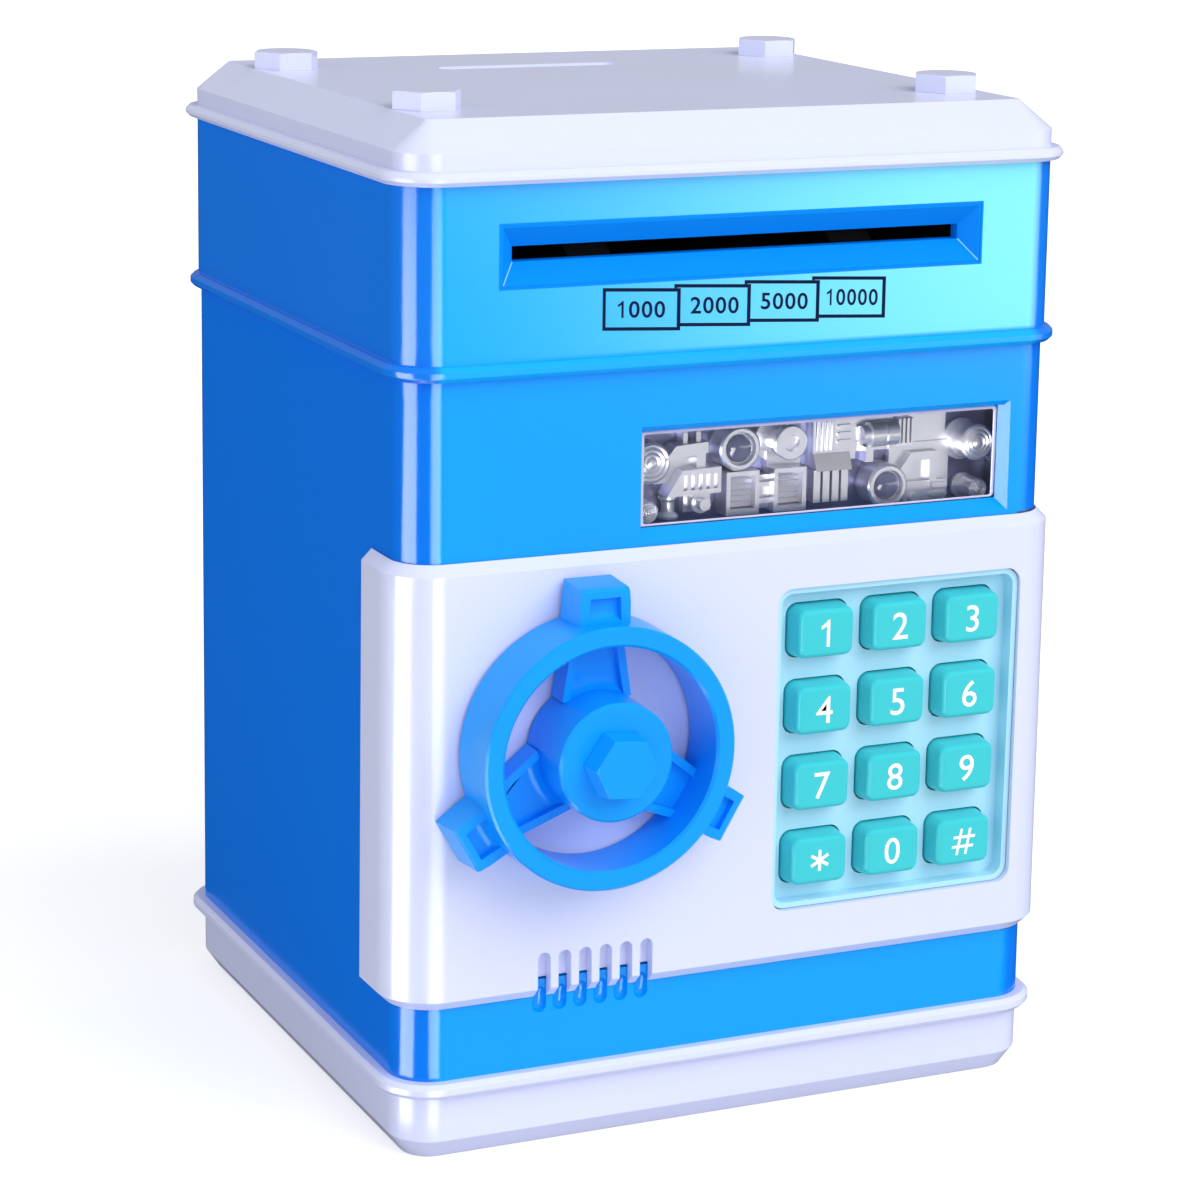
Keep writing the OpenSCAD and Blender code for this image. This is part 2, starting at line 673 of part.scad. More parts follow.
module lid_bolts() {
    color("lavender") for (sx = [-1, 1], sy = [-1, 1])
        translate([sx * bolt_x, sy * bolt_y, lid_top]) {
            intersection() {
                cylinder(r = bolt_ac / 2, h = bolt_h, $fn = 6);
                rotate_extrude($fn = 96)
                    polygon([[0, 0], [bolt_ac, 0], [bolt_ac, bolt_h - 2], [bolt_ac / 2 - 0.9, bolt_h],
                        [0, bolt_h]]);
            }
            translate([0, 0, column_z - lid_top + 0.4]) cylinder(r = 2, h = lid_top - column_z, $fn = 48);
        }
}

module coin_chute() {
    top = lid_top - 3.02;
    color("whitesmoke") difference() {
        union() {
            translate([-coin_left, coin_back, top - 24]) linear_extrude(24)
                square([coin_l + 4.4, coin_w + 2.6], center = true);
            translate([-coin_left, coin_back, top - 1.2]) linear_extrude(1.2)
                square([coin_l + 10, coin_w + 7], center = true);
        }
        translate([-coin_left, coin_back, top - 25]) linear_extrude(26)
            square([coin_l + 2, coin_w + 0.2], center = true);
    }
}

// Window lens and the relief of machinery behind it

window_posts = [[window_x0 + 8, window_z1 + 4.6], [window_x1 - 4.4, window_z1 + 4.6],
    [window_x0 - 5.4, window_z0 + 10]];

// A plate that fills the window, a flange behind the wall and a rim that reaches back to the relief.
module window_lens() {
    b = window_bevel;
    rim = 0.8;
    color([0.9, 0.95, 1, 0.3]) difference() {
        union() {
            block([window_x0 + seat_gap, window_front + b + 0.05, window_z0 + b + seat_gap],
                [window_side - seat_gap, window_in + over, window_z1 - seat_gap]);
            block([lens_x0, window_in + 0.1, lens_z0], [lens_x1, insert_y - 0.05, lens_z1]);
        }
        block([lens_x0 + rim, window_in + 1.2, lens_z0 + rim], [lens_x1 - rim, insert_y, lens_z1 - rim]);
    }
}

// Raised details, drawn on the relief's floor. Heights are counted forward from the floor.
module machinery_insert() {
    color("silver") difference() {
        union() {
            block([lens_x0, insert_y, lens_z0], [lens_x1, insert_y + insert_t, lens_z1]);
            for (p = window_posts) {
                facing(p[0], insert_y + insert_t, p[1]) cylinder(r = 3.4, h = insert_t, $fn = 48);
                block([p[0] - 2.4, insert_y, min(p[1] - 2.4, window_z1)],
                    [max(p[0] + 2.4, window_x0), insert_y + insert_t, p[1] + 2.4]);
            }
            facing(0, insert_y + 0.2, window_z0) relief();
            for (x = [window_x0 + 3, 46], z = [window_z0 + 3, window_z0 + 17])
                facing(x, insert_y + insert_t + 2.5, z) cylinder(r = 2.2, h = 3, $fn = 32);
        }
        for (p = window_posts)
            facing(p[0], insert_y + 4, p[1]) cylinder(r = 1.5, h = 8, $fn = 32);
    }
}

module relief() {
    target(-14.6, 12.4, 3.8, 4.6);
    target(-15.4, 3.6, 2, 5.4);
    bracket();
    slotted_block();
    spool();
    translate([-4.6, 4.4, 0]) {
        linear_extrude(2.6) square([5.4, 3.8], center = true);
        cylinder(r = 1.9, h = 4.4, $fn = 48);
        cylinder(r = 1.1, h = 6.2, $fn = 48);
    }
    porthole(2.6, 14, 4.1, 5.6);
    washer(12.9, 14.4, 3.2, 5.6);
    louvre(0, 1.8);
    louvre(9.6, 1.8);
    block([7.2, 2.2, 0], [9.8, 8.4, 3.2]);
    for (z = [3.4, 6.4]) block([7, z, 0], [9.8, z + 0.9, 4.4]);
    rib_plate();
    motor_can();
    elbow();
    porthole(33, 4.9, 4.1, 5.8);
    ledge();
    canister(51.6, 11.8, 3.4, 6);
    canister(52.3, 2.9, 1.9, 5.6);
}

// A drum whose face has rings inside one another.
module target(x, z, r, h) {
    translate([x, z, 0]) rotate_extrude($fn = 64)
        polygon(concat([[0, 0], [r, 0]], [for (i = [0 : 3], k = [0 : 1])
            [r * (1 - i * 0.23 - k * 0.13), h - (k == 0 ? 0.35 : 0) + i * 0.12]], [[0, h + 0.5]]));
}

// A ring boss with a dark glass dome sunk in it.
module porthole(x, z, r, h) {
    translate([x, z, 0]) rotate_extrude($fn = 96)
        polygon([[0, 0], [r, 0], [r, h - 0.4], [r - 0.4, h], [r * 0.75, h], [r * 0.68, h - 0.9],
            [r * 0.62, h - 0.9], [r * 0.5, h - 0.35], [r * 0.3, h], [0, h + 0.15]]);
}

module washer(x, z, r, h) {
    translate([x - 1.6, z, 0]) cylinder(r = r + 0.8, h = 1.8, $fn = 64);
    translate([x, z, 0]) rotate_extrude($fn = 64)
        polygon([[0, 0], [r - 0.5, 0], [r - 0.5, h - 1.4], [r, h - 1.2], [r, h - 0.2], [r - 0.2, h],
            [r * 0.5, h], [r * 0.42, h - 0.9], [0, h - 0.9]]);
    block([x - 3.4, z - 4.6, 0], [x + 3.4, z - 2, 2.4]);
}

module bracket() {
    linear_extrude(4.6) polygon([[-12, 12.6], [-9.8, 15.2], [-3.4, 15.6], [-3.4, 13.6], [-11, 12.6]]);
    block([-5.4, 8, 0], [-3.6, 14, 4]);
    for (x = [-8, -5.4]) block([x, 15, 0], [x + 0.9, 17.4, 3.6]);
    block([-13, 8, 0], [-5.4, 12.4, 2.2]);
}

module slotted_block() {
    difference() {
        linear_extrude(5) polygon([[-11.6, 6], [-8.6, 10.7], [-0.9, 11], [-0.9, 6.2]]);
        for (i = [0 : 4]) block([-8.4 + i * 1.5, 7, 3.8], [-7.6 + i * 1.5, 9.8, 6]);
    }
}

// An upright spool between its two flared ends.
module spool() {
    translate([-10, 1.6, 1.8]) rotate([-90, 0, 0]) rotate_extrude($fn = 48)
        polygon([[0, 0], [1.9, 0], [1.9, 0.5], [1.2, 1.2], [1.2, 3], [1.7, 3.6], [1.7, 4.2], [0, 4.2]]);
}

// A frame with sloping slats.
module louvre(x, z) {
    w = 6.6;
    h = 8;
    translate([x, z, 0]) {
        difference() {
            cube([w, h, 5.4]);
            translate([0.8, 0.9, 1.6]) cube([w - 1.6, h - 1.7, 5]);
        }
        for (i = [0 : 5])
            translate([0.5, 1 + i * 1.06, 3.6]) rotate([-35, 0, 0]) cube([w - 1, 0.9, 0.5]);
    }
}

// Rods, pills, a ramp and flat bars, all on one plate.
module rib_plate() {
    block([18.6, 10, 0], [27.4, 17.6, 3]);
    for (i = [0 : 3]) translate([19.4 + i * 1, 12, 3]) rotate([-90, 0, 0])
        cylinder(r = 0.36, h = 5.4, $fn = 24);
    for (i = [0 : 2]) translate([25, 13.4 + i * 1.4, 3]) linear_extrude(0.5) round_rect(3, 0.8, 0.39);
    translate([18.6, 0, 0]) rotate([90, 0, 90]) linear_extrude(7.4)
        polygon([[8.4, 0], [11.4, 0], [11.4, 3.4], [8.4, 4.6]]);
    for (i = [0 : 3]) block([18.2 + i * 1.9, 2.6, 0], [19.6 + i * 1.9, 8.6, 4.4]);
}

module motor_can() {
    translate([28.4, 14.3, 3]) rotate([0, 90, 0]) rotate_extrude($fn = 48)
        polygon([[0, 0], [1.7, 0], [1.7, 1.4], [2.3, 1.6], [2.3, 4.4], [2.1, 4.6], [2.3, 4.8],
            [2.3, 7.2], [0, 7.2]]);
    for (i = [0 : 3]) block([35.8 + i * 0.9, 12, 0], [36.3 + i * 0.9, 17, 4]);
    block([27.6, 11, 0], [47, 17.4, 1.6]);
    block([29.4, 9.2, 0], [31, 12, 3.4]);
}

// A pipe that rises from the lower porthole, runs right and comes down again.
module elbow() {
    linear_extrude(3.6) polygon([[36.4, 7], [39, 10.4], [44.4, 10.4], [44.4, 4.6], [42.8, 4.6], [42.8, 8.8],
        [39.8, 8.8], [37.6, 5.8]]);
    linear_extrude(2) polygon([[35, 2], [35, 12], [47.6, 12], [47.6, 2]]);
}

module ledge() {
    block([37.6, 1.2, 0], [46.6, 4.8, 3.2]);
    for (z = [2.2, 3.9]) translate([45, z, 3.2]) linear_extrude(0.5) round_rect(3.4, 0.9, 0.44);
    translate([39.8, 1.8, 0]) cylinder(r = 1, h = 4, $fn = 32);
}

// A can on a collar, its face ringed.
module canister(x, z, r, h) {
    translate([x - 1, z, 0]) cylinder(r = r + 0.5, h = 1.4, $fn = 64);
    target(x, z, r, h);
}

module window_screws() {
    color("silver") for (p = window_posts)
        facing(p[0], insert_y + insert_t + 0.02, p[1]) rotate([180, 0, 0]) pan_screw(1.05, 7, 2.2, 1.3);
}

module main_pcb() {
    y = insert_y + insert_t + 2.5;
    color("seagreen") {
        block([window_x0 - 0.5, y, window_z0 + 0.5], [window_x1 - 3, y + pcb_t, window_z1]);
        block([-12, y + pcb_t, window_z0 + 6], [-4, y + pcb_t + 1.4, window_z0 + 14]);
        block([4, y + pcb_t, window_z0 + 3], [16, y + pcb_t + 4.5, window_z0 + 8]);
        facing(24, y + pcb_t + 6, window_z0 + 10) cylinder(r = 3, h = 6.01, $fn = 48);
        block([32, y + pcb_t, window_z0 + 5], [44, y + pcb_t + 3, window_z0 + 9]);
    }
}

// Note feeder

module feeder_frame() {
    color("gainsboro") difference() {
        union() {
            for (sx = [-1, 1]) mirror([sx < 0 ? 1 : 0, 0, 0]) side_plate(sx > 0);
            block([-plate_x - 0.5, throat_y + 0.2, slot_z - slot_h / 2 - 2],
                [plate_x + 0.5, shaft_y + 14, slot_z - slot_h / 2 - 0.5]);
            block([-plate_x - 0.5, throat_y + 0.2, slot_z + slot_h / 2 + 0.3],
                [plate_x + 0.5, shaft_y + 14, slot_z + slot_h / 2 + 1.6]);
            block([-plate_x - 0.5, frame_y, feeder_post_z - 3.4],
                [plate_x + 0.5, frame_y + 1.8, feeder_post_z + 3.4]);
            deflector();
        }
        for (x = [-26, 26]) {
            block([x - 6, shaft_y - drive_r - 0.6, drive_z], [x + 6, shaft_y + drive_r + 0.6, slot_z]);
            block([x - 6, shaft_y - idler_r - 0.6, slot_z], [x + 6, shaft_y + idler_r + 0.6, idler_z]);
        }
        for (z = [drive_z, idler_z])
            translate([0, shaft_y, z]) rotate([0, 90, 0])
                cylinder(r = shaft_r + run_gap, h = body_w, center = true, $fn = 64);
        translate([plate_x - over, motor_y, motor_z]) rotate([0, 90, 0]) cylinder(r = 3.1, h = 5, $fn = 64);
        for (p = feeder_posts) facing(p[0], frame_y + 5, p[1]) cylinder(r = 1.5, h = 8, $fn = 32);
    }
}

module side_plate(carries_motor) {
    low = carries_motor ? motor_z - motor_flat - 2 : feeder_post_z - 3.4;
    translate([plate_x, 0, 0]) rotate([90, 0, 90]) linear_extrude(plate_t)
        polygon([[frame_y, feeder_post_z - 3.4], [motor_y - motor_r, low], [motor_y + motor_r, low],
            [motor_y + motor_r, drive_z - 3], [shaft_y + 14, slot_z - 2], [shaft_y + 14, slot_z + 3],
            [shaft_y + 6, idler_z + 3], [throat_y, idler_z + 3], [frame_y, slot_z]]);
}

// The guide that turns a note down behind the rollers.
module deflector() {
    r = 11.5;
    translate([-plate_x, shaft_y + 14 - 0.02, slot_z + slot_h / 2 + 0.3 - r]) rotate([90, 0, 90])
        linear_extrude(2 * plate_x) intersection() {
            difference() {
                circle(r + 1.3, $fn = 96);
                circle(r, $fn = 96);
            }
            square([r + 2, r + 2]);
        }
}

module feeder_screws() {
    color("silver") for (p = feeder_posts)
        facing(p[0], frame_y + 1.8, p[1]) rotate([180, 0, 0]) pan_screw(1.05, 4, 2.2, 1.3);
}

module feed_motor() {
    x1 = plate_x - 0.1;
    color("silver") difference() {
        union() {
            translate([x1 - motor_l, motor_y, motor_z]) rotate([0, 90, 0]) intersection() {
                cylinder(r = motor_r, h = motor_l, $fn = 96);
                translate([-motor_flat, -motor_r, 0]) cube([2 * motor_flat, 2 * motor_r, motor_l]);
            }
            translate([x1 - over, motor_y, motor_z]) rotate([0, 90, 0])
                cylinder(r = 3, h = over + 1.4, $fn = 64);
            translate([x1 - motor_l - 1.6, motor_y, motor_z]) rotate([0, 90, 0])
                cylinder(r = 5, h = 2, $fn = 64);
        }
        translate([x1 - 10, motor_y, motor_z]) rotate([0, 90, 0])
            cylinder(r = 1 + run_gap, h = 20, $fn = 48);
    }
}

module shaft(z, x0, x1) {
    translate([x0, shaft_y, z]) rotate([0, 90, 0]) cylinder(r = shaft_r, h = x1 - x0, $fn = 64);
}

module drive_shaft() {
    color("silver") shaft(drive_z, -plate_x - plate_t - 1, gear_x + gear_t + 0.6);
}

module idler_shaft() {
    color("silver") shaft(idler_z, -plate_x - plate_t - 1, plate_x + plate_t + 0.3);
}

// Two rollers, each with a hub between raised shoulders.
module rollers(r, z, half) {
    for (sx = [-1, 1]) translate([sx * 26, shaft_y, z]) rotate([0, 90, 0]) rotate_extrude($fn = 96)
        polygon([[shaft_r + 0.02, -half], [r - 1.4, -half], [r - 1.4, -half + 0.8],
            [r, -half + 0.8], [r, half - 0.8], [r - 1.4, half - 0.8], [r - 1.4, half],
            [shaft_r + 0.02, half]]);
}

module drive_rollers() {
    color("dimgray") rollers(drive_r, drive_z, 5);
}

module idler_rollers() {
    color("whitesmoke") rollers(idler_r, idler_z, 4.5);
}

function inv(a) = tan(a) * 180 / PI - a;
function half_tooth(r, n) = 81 / n + inv(20) - inv(acos(min(1, n * tooth / 2 * cos(20) / r)));

// Point at radius r of tooth i, turned from the tooth's middle by an angle.
function on_tooth(i, n, r, angle) = r * [cos(i * 360 / n + angle), sin(i * 360 / n + angle)];

// Involute spur gear with a bore, its first tooth on +X.
module gear(n, thick, bore) {
    root = n * tooth / 2 - 1.2 * tooth;
    tip = n * tooth / 2 + tooth * 0.95;
    low = max(root + 0.05, n * tooth / 2 * cos(20) + 0.01);
    radii = [for (k = [0 : 3]) low + (tip - low) * k / 3];
    linear_extrude(thick) difference() {
        polygon([for (i = [0 : n - 1]) each concat(
            [on_tooth(i, n, root, -half_tooth(low, n) - 40 / n)],
            [for (k = [0 : 3]) on_tooth(i, n, radii[k], -half_tooth(radii[k], n))],
            [for (k = [3 : -1 : 0]) on_tooth(i, n, radii[k], half_tooth(radii[k], n))],
            [on_tooth(i, n, root, half_tooth(low, n) + 40 / n)])]);
        circle(bore, $fn = 48);
    }
}

module drive_gear() {
    color("whitesmoke") translate([gear_x, shaft_y, drive_z]) rotate([90, 0, 90]) difference() {
        rotate(-mesh_angle) gear(gear_teeth, gear_t, shaft_r + 0.02);
        for (i = [0 : 4]) rotate(i * 72) translate([6.2, 0, -over])
            cylinder(r = 1.9, h = gear_t + 2 * over, $fn = 32);
    }
}

module motor_pinion() {
    turn = 180 - mesh_angle + (pinion_teeth % 2 == 0 ? 180 / pinion_teeth : 0);
    color("gold") translate([gear_x, motor_y, motor_z]) rotate([90, 0, 90]) {
        rotate(turn) gear(pinion_teeth, gear_t, 0.7);
        translate([0, 0, plate_x - gear_x - 6])
            cylinder(r = 1, h = gear_x - plate_x + 6 + gear_t + 1, $fn = 48);
    }
}

// Door

module hinge_pins() {
    color("silver") for (z = [door_z0 + pin_l / 2 - 0.6, door_z1 + pin_l / 2 - 0.3])
        translate([pivot_x, pivot_y, z - pin_l + 0.3]) cylinder(r = pin_r, h = pin_l - 0.6, $fn = 48);
}

module door_shell() {
    r0 = body_r(door_z0);
    r1 = body_r(door_z1);
    edge = 1.9;
    color("lavender") difference() {
        union() {
            difference() {
                soft_box([[r0 + door_proud - edge, door_z0], [r0 + door_proud, door_z0 + edge],
                    [r1 + door_proud, door_z1 - edge], [r1 + door_proud - edge, door_z1]]);
                soft_box([[r0 + door_gap, door_z0 - over], [r1 + door_gap, door_z1 + over]]);
                block([-body_w, door_back, 0], [0, body_d, top_z]);
                block([-over, pivot_y, 0], [body_w, body_d, top_z]);
            }
            translate([pivot_x, pivot_y, door_z0]) cylinder(r = barrel_r, h = door_h, $fn = 96);
            door_inside();
        }
        door_vents();
        facing(pad_right, door_face + 6, pad_z) linear_extrude(8) round_rect(pad_w + 0.3, pad_h + 0.3, 3);
        facing(-wheel_left, shell_in + 20, wheel_z) cylinder(r = spindle_r + run_gap, h = 30, $fn = 96);
        for (z = [door_z0 - over, door_z1 + over - pin_l / 2 - 0.6 - over])
            translate([pivot_x, pivot_y, z])
                cylinder(r = pin_r + run_gap, h = pin_l / 2 + 0.6 + over, $fn = 48);
        for (p = door_posts) facing(p[0], cover_y + over, p[1]) cylinder(r = 1.1, h = 8, $fn = 32);
    }
}

door_posts = [for (x = [box_x0 + 5, 1.4], z = [box_z0 + 5.4, box_z1 - 5.4]) [x, z]];

// Box walls, the wheel's bearing, screw posts and ribs behind the door's face.
module door_inside() {
    y0 = shell_back - 0.6;
    difference() {
        block([box_x0, y0, box_z0], [box_x1, cover_y - 0.05, box_z1]);
        block([box_x0 + box_t, y0 - over, box_z0 + box_t], [box_x1 - box_t, cover_y, box_z1 - box_t]);
    }
    facing(-wheel_left, cam_y - 0.4, wheel_z) cylinder(r = 7, h = cam_y - 0.4 - y0, $fn = 96);
    for (p = door_posts) facing(p[0], cover_y - 0.05, p[1])
        cylinder(r = 3, h = cover_y - 0.05 - y0, $fn = 48);
    for (a = [0 : 60 : 300])
        facing(-wheel_left, cam_y - 1.6, wheel_z) rotate(a) block([6, -0.6, 0], [15, 0.6, cam_y - 1.6 - y0]);
    vent_x1 = vent_x0 + 5 * vent_pitch;
    block([vent_x0 - 3, y0, box_z0], [vent_x1 + 3, shell_in + 1.8, door_z0 + vent_high + 2]);
}

// Grooves that rise from the door's lower edge, open behind where the door laps the cabinet.
module door_vents() {
    r = vent_w / 2 - 0.1;
    for (i = [0 : 5]) {
        x = vent_x0 + i * vent_pitch;
        facing(x, door_face + 2.3, door_z0 + vent_high - r) cylinder(r = r, h = 5, $fn = 32);
        block([x - r, door_face - 3, door_z0 - over], [x + r, door_face + 2.3, door_z0 + vent_high - r]);
        block([x - r, door_face - 3, door_z0 - over], [x + r, shell_in + 1, door_z0 + door_lap]);
    }
}

// Tray of the keypad: walls that line the opening, a floor with twelve holes, a flange behind the door.
module keypad_panel() {
    color("paleturquoise") difference() {
        union() {
            facing(pad_right - 1.2, shell_in + 1.6, pad_z)
                linear_extrude(1.4) round_rect(pad_w + 0.6, pad_h + 3, 3);
            facing(pad_right, pad_floor + pad_floor_t, pad_z)
                linear_extrude(pad_deep + pad_floor_t - pad_set_back) round_rect(pad_w, pad_h, 3);
            for (p = pad_posts) {
                facing(p[0], pad_post_y, p[1]) cylinder(r = 1.3, h = pad_post_y - pad_floor - 1, $fn = 32);
                facing(p[0], pad_post_y + 2.4, p[1]) cylinder(r = 0.8, h = 2.5, $fn = 32);
            }
        }
        facing(pad_right, pad_floor, pad_z)
            linear_extrude(pad_deep + over) round_rect(pad_w - 2 * pad_wall, pad_h - 2 * pad_wall, 2.2);
        for (c = [0 : 2], r = [0 : 3])
            facing(key_x(c), pad_floor + 5, key_z(r)) linear_extrude(8)
                round_rect(key_hole_w, key_hole_h, key_r + key_gap);
    }
}

pad_post_y = sheet_y + sheet_t;     // front of the keypad's circuit board
pad_posts = [for (sx = [-1, 1], sz = [-1, 1])
    [pad_right + sx * (pad_w / 2 - 2.4), pad_z + sz * (pad_h / 2 - 1.4)]];

function key_x(c) = pad_right - 0.2 + (c - 1) * key_pitch_x;
function key_z(r) = pad_z + 0.1 + (1.5 - r) * key_pitch_z;

key_lean = 0.35;                    // how far a key's side leans in between the floor and its front
key_round = 1;                      // radius of the edge round a key's front

// One key: a cap with leaning sides, a stem through the hole and a flange behind the floor.
module key(c, r) {
    color("turquoise") translate([key_x(c), 0, key_z(r)]) rotate([90, 0, 0]) {
        translate([0, 0, -key_back]) linear_extrude(key_flange_t)
            round_rect(key_w + 1.8, key_h + 1.8, key_r);
        translate([0, 0, -key_back]) linear_extrude(key_back - pad_floor) round_rect(key_w, key_h, key_r);
        translate([0, 0, -pad_floor]) key_cap();
    }
}

// What shows of a key in front of the recess floor.
module key_cap() {
    for (sx = [-1, 1], sy = [-1, 1])
        translate([sx * (key_w / 2 - key_r), sy * (key_h / 2 - key_r), 0])
            rotate_extrude($fn = 48) polygon(concat([[0, 0]], key_side(key_r), [[0, key_out]]));
    rotate([90, 0, 0]) linear_extrude(key_h - 2 * key_r, center = true) key_section(key_w / 2);
    rotate([90, 0, 90]) linear_extrude(key_w - 2 * key_r, center = true) key_section(key_h / 2);
}

// A key's side from the floor to the front: it leans in and then turns over in a quarter circle.
function key_side(half) = concat([[half, 0]],
    [for (a = [0 : 22.5 : 90])
        [half - key_lean - key_round * (1 - cos(a)), key_out - key_round * (1 - sin(a))]]);

module key_section(half) {
    side = key_side(half);
    polygon(concat(side, [for (i = [len(side) - 1 : -1 : 0]) [-side[i][0], side[i][1]]]));
}

module key_membrane() {
    color("whitesmoke") {
        block([key_x(0) - 7, sheet_y, key_z(3) - 5.8],
            [key_x(2) + 7, sheet_y + sheet_t - 0.02, key_z(0) + 5.8]);
        for (c = [0 : 2], r = [0 : 3])
            facing(key_x(c), sheet_y + 0.1, key_z(r))
                cylinder(r1 = 3.6, r2 = 2.6, h = dome_h + 0.1, $fn = 48);
    }
}

module keypad_pcb() {
    y = pad_post_y + 0.02;
    color("seagreen") difference() {
        union() {
            block([pad_right - pad_w / 2 + 0.2, y, pad_z - pad_h / 2 + 0.2],
                [pad_right + pad_w / 2 - 0.9, y + pcb_t, pad_z + pad_h / 2 - 0.2]);
            facing(pad_right - 8, y + pcb_t + 1, pad_z) cylinder(r = 4, h = 1.01, $fn = 48);
            block([pad_right + 4, y + pcb_t - 0.01, pad_z - 22],
                [pad_right + 16, y + pcb_t + 1.2, pad_z - 17]);
        }
        for (p = pad_posts) facing(p[0], y + 5, p[1]) cylinder(r = 1, h = 10, $fn = 32);
    }
}

module door_cover() {
    lip = 1.2;
    gap = 0.2;
    color("lavender") difference() {
        union() {
            block([box_x0, cover_y, box_z0], [box_x1, cover_y + cover_t, box_z1]);
            difference() {
                block([box_x0 + box_t + gap, cover_y - 2, box_z0 + box_t + gap],
                    [box_x1 - box_t - gap, cover_y + 0.1, box_z1 - box_t - gap]);
                block([box_x0 + box_t + gap + lip, cover_y - 3, box_z0 + box_t + gap + lip],
                    [box_x1 - box_t - gap - lip, cover_y, box_z1 - box_t - gap - lip]);
            }
        }
        facing(-wheel_left, cover_y + 5, wheel_z) cylinder(r = spindle_r + 0.5, h = 10, $fn = 64);
        for (p = door_posts) {
            facing(p[0], cover_y + 5, p[1]) cylinder(r = 1.5, h = 10, $fn = 32);
            facing(p[0], cover_y + 0.02, p[1]) cylinder(r = 3.2, h = 4, $fn = 48);
        }
    }
}

module door_screws() {
    color("silver") for (p = door_posts)
        facing(p[0], cover_y + cover_t, p[1]) rotate([180, 0, 0]) pan_screw(1.05, 8, 2.4, 1.2);
}

// Lock: a coil in its frame and the plunger that enters the cam's notch.
lock_y = cam_y + cam_t / 2;
coil_top = wheel_z - cam_r - 5;
plunger_rest = cam_r + 0.6;      // distance of the resting plunger's tip from the wheel's axis
plunger_r = 1.25;
notch = 3.8;

module lock_solenoid() {
    color("dimgray") translate([-wheel_left, lock_y, 0]) difference() {
        union() {
            translate([0, 0, coil_top - 17]) cylinder(r = 4.8, h = 15, $fn = 64);
            block([-6, -5.4, coil_top - 18.4], [6, 5, coil_top - 17]);
            block([-6, -5.4, coil_top - 2], [6, 5, coil_top - 0.6]);
            block([-6, -5.4, coil_top - 18.4], [-5, 5, coil_top - 0.6]);
            block([-10, shell_in - lock_y + 0.02, coil_top - 14],
                [-5, shell_in - lock_y + 1.4, coil_top - 4]);
            block([-6, shell_in - lock_y + 0.02, coil_top - 14], [-5, 0, coil_top - 4]);
        }
        translate([0, 0, coil_top - 16]) cylinder(r = plunger_r + run_gap, h = 20, $fn = 48);
    }
}

module lock_plunger() {
    color("silver") translate([-wheel_left, lock_y, wheel_z - plunger_rest - 19])
        cylinder(r = plunger_r, h = 19, $fn = 48);
}

// Handwheel, drawn facing the front round its axis

module wheel_place() {
    facing(-wheel_left, -wheel_back, wheel_z) children();
}

module handwheel() {
    inner = rim_r - rim_w;
    e = 0.5;
    color("dodgerblue") wheel_place() difference() {
        union() {
            rotate_extrude($fn = 128)
                polygon([[inner + 0.2, 0], [rim_r, 0], [rim_r - 0.1, rim_d - e], [rim_r - e, rim_d],
                    [inner + e, rim_d], [inner, rim_d - e]]);
            rotate_extrude($fn = 96)
                polygon([[0, 0], [hub_r + 0.3, 0], [hub_r, hub_d - e], [hub_r - e, hub_d], [0, hub_d]]);
            for (a = [90, 210, 330]) rotate(a) arm();
            for (a = [90, 210, 330]) rotate(a) lug();
        }
        translate([0, 0, -over]) cylinder(r = spindle_r + 0.02, h = hub_d - 3, $fn = 64);
        cylinder(r = 1.6, h = hub_d + over, $fn = 48);
    }
}

// A flat piece along +X between two half widths, one at each end.
module taper(x0, half0, x1, half1) {
    polygon([[x0, -half0], [x1, -half1], [x1, half1], [x0, half0]]);
}

// A ring that curves up from a floor at z = 0 to an upright wall of radius r.
module foot_curve(r, size) {
    rotate_extrude($fn = 128)
        polygon(concat([[r - over, -0.5], [r + size, -0.5]],
            [for (a = [0 : 15 : 90]) [r + size * (1 - sin(a)), size * (1 - cos(a))]], [[r - over, size]]));
}

// An arm: a channel between two borders, wider at the hub, its floor curving up to the hub.
module arm() {
    inner = rim_r - rim_w + 0.6;
    border = 1.5;
    floor_z = arm_d - 1.5;
    curve = 2.4;
    difference() {
        linear_extrude(arm_d) taper(hub_r - 1.5, 6.6, inner, 4.8);
        translate([0, 0, floor_z]) linear_extrude(3)
            taper(hub_r - 1, 6.6 - border, inner - 0.5, 4.8 - border);
    }
    intersection() {
        linear_extrude(floor_z + curve) taper(hub_r - 1.2, 6.6 - border, inner, 4.8 - border);
        translate([0, 0, floor_z]) foot_curve(hub_r, curve);
    }
}

// A lug outside the rim, its sides drawn in towards the front. The pocket in its face is open
// towards the rim, where its floor curves up.
module lug() {
    inner = rim_r - 1.5;
    floor_z = lug_d - 1.5;
    curve = 2.4;
    difference() {
        intersection() {
            linear_extrude(lug_d) taper(inner, 5.3, lug_r, 4.5);
            rotate([90, 0, 90]) linear_extrude(lug_r)
                polygon([[-5.4, 0], [5.4, 0], [4.8, lug_d], [-4.8, lug_d]]);
            rotate([90, 0, 0]) linear_extrude(20, center = true)
                polygon([[inner, 0], [lug_r, 0], [lug_r - 0.5, lug_d - 0.5], [lug_r - 1, lug_d],
                    [inner, lug_d]]);
        }
        translate([0, 0, floor_z]) linear_extrude(3) taper(rim_r - 0.5, 3.1, lug_r - 2.1, 2.9);
    }
    intersection() {
        linear_extrude(floor_z + curve) taper(inner, 3.2, lug_r - 2.1, 3);
        translate([0, 0, floor_z]) foot_curve(rim_r - 0.1, curve);
    }
}

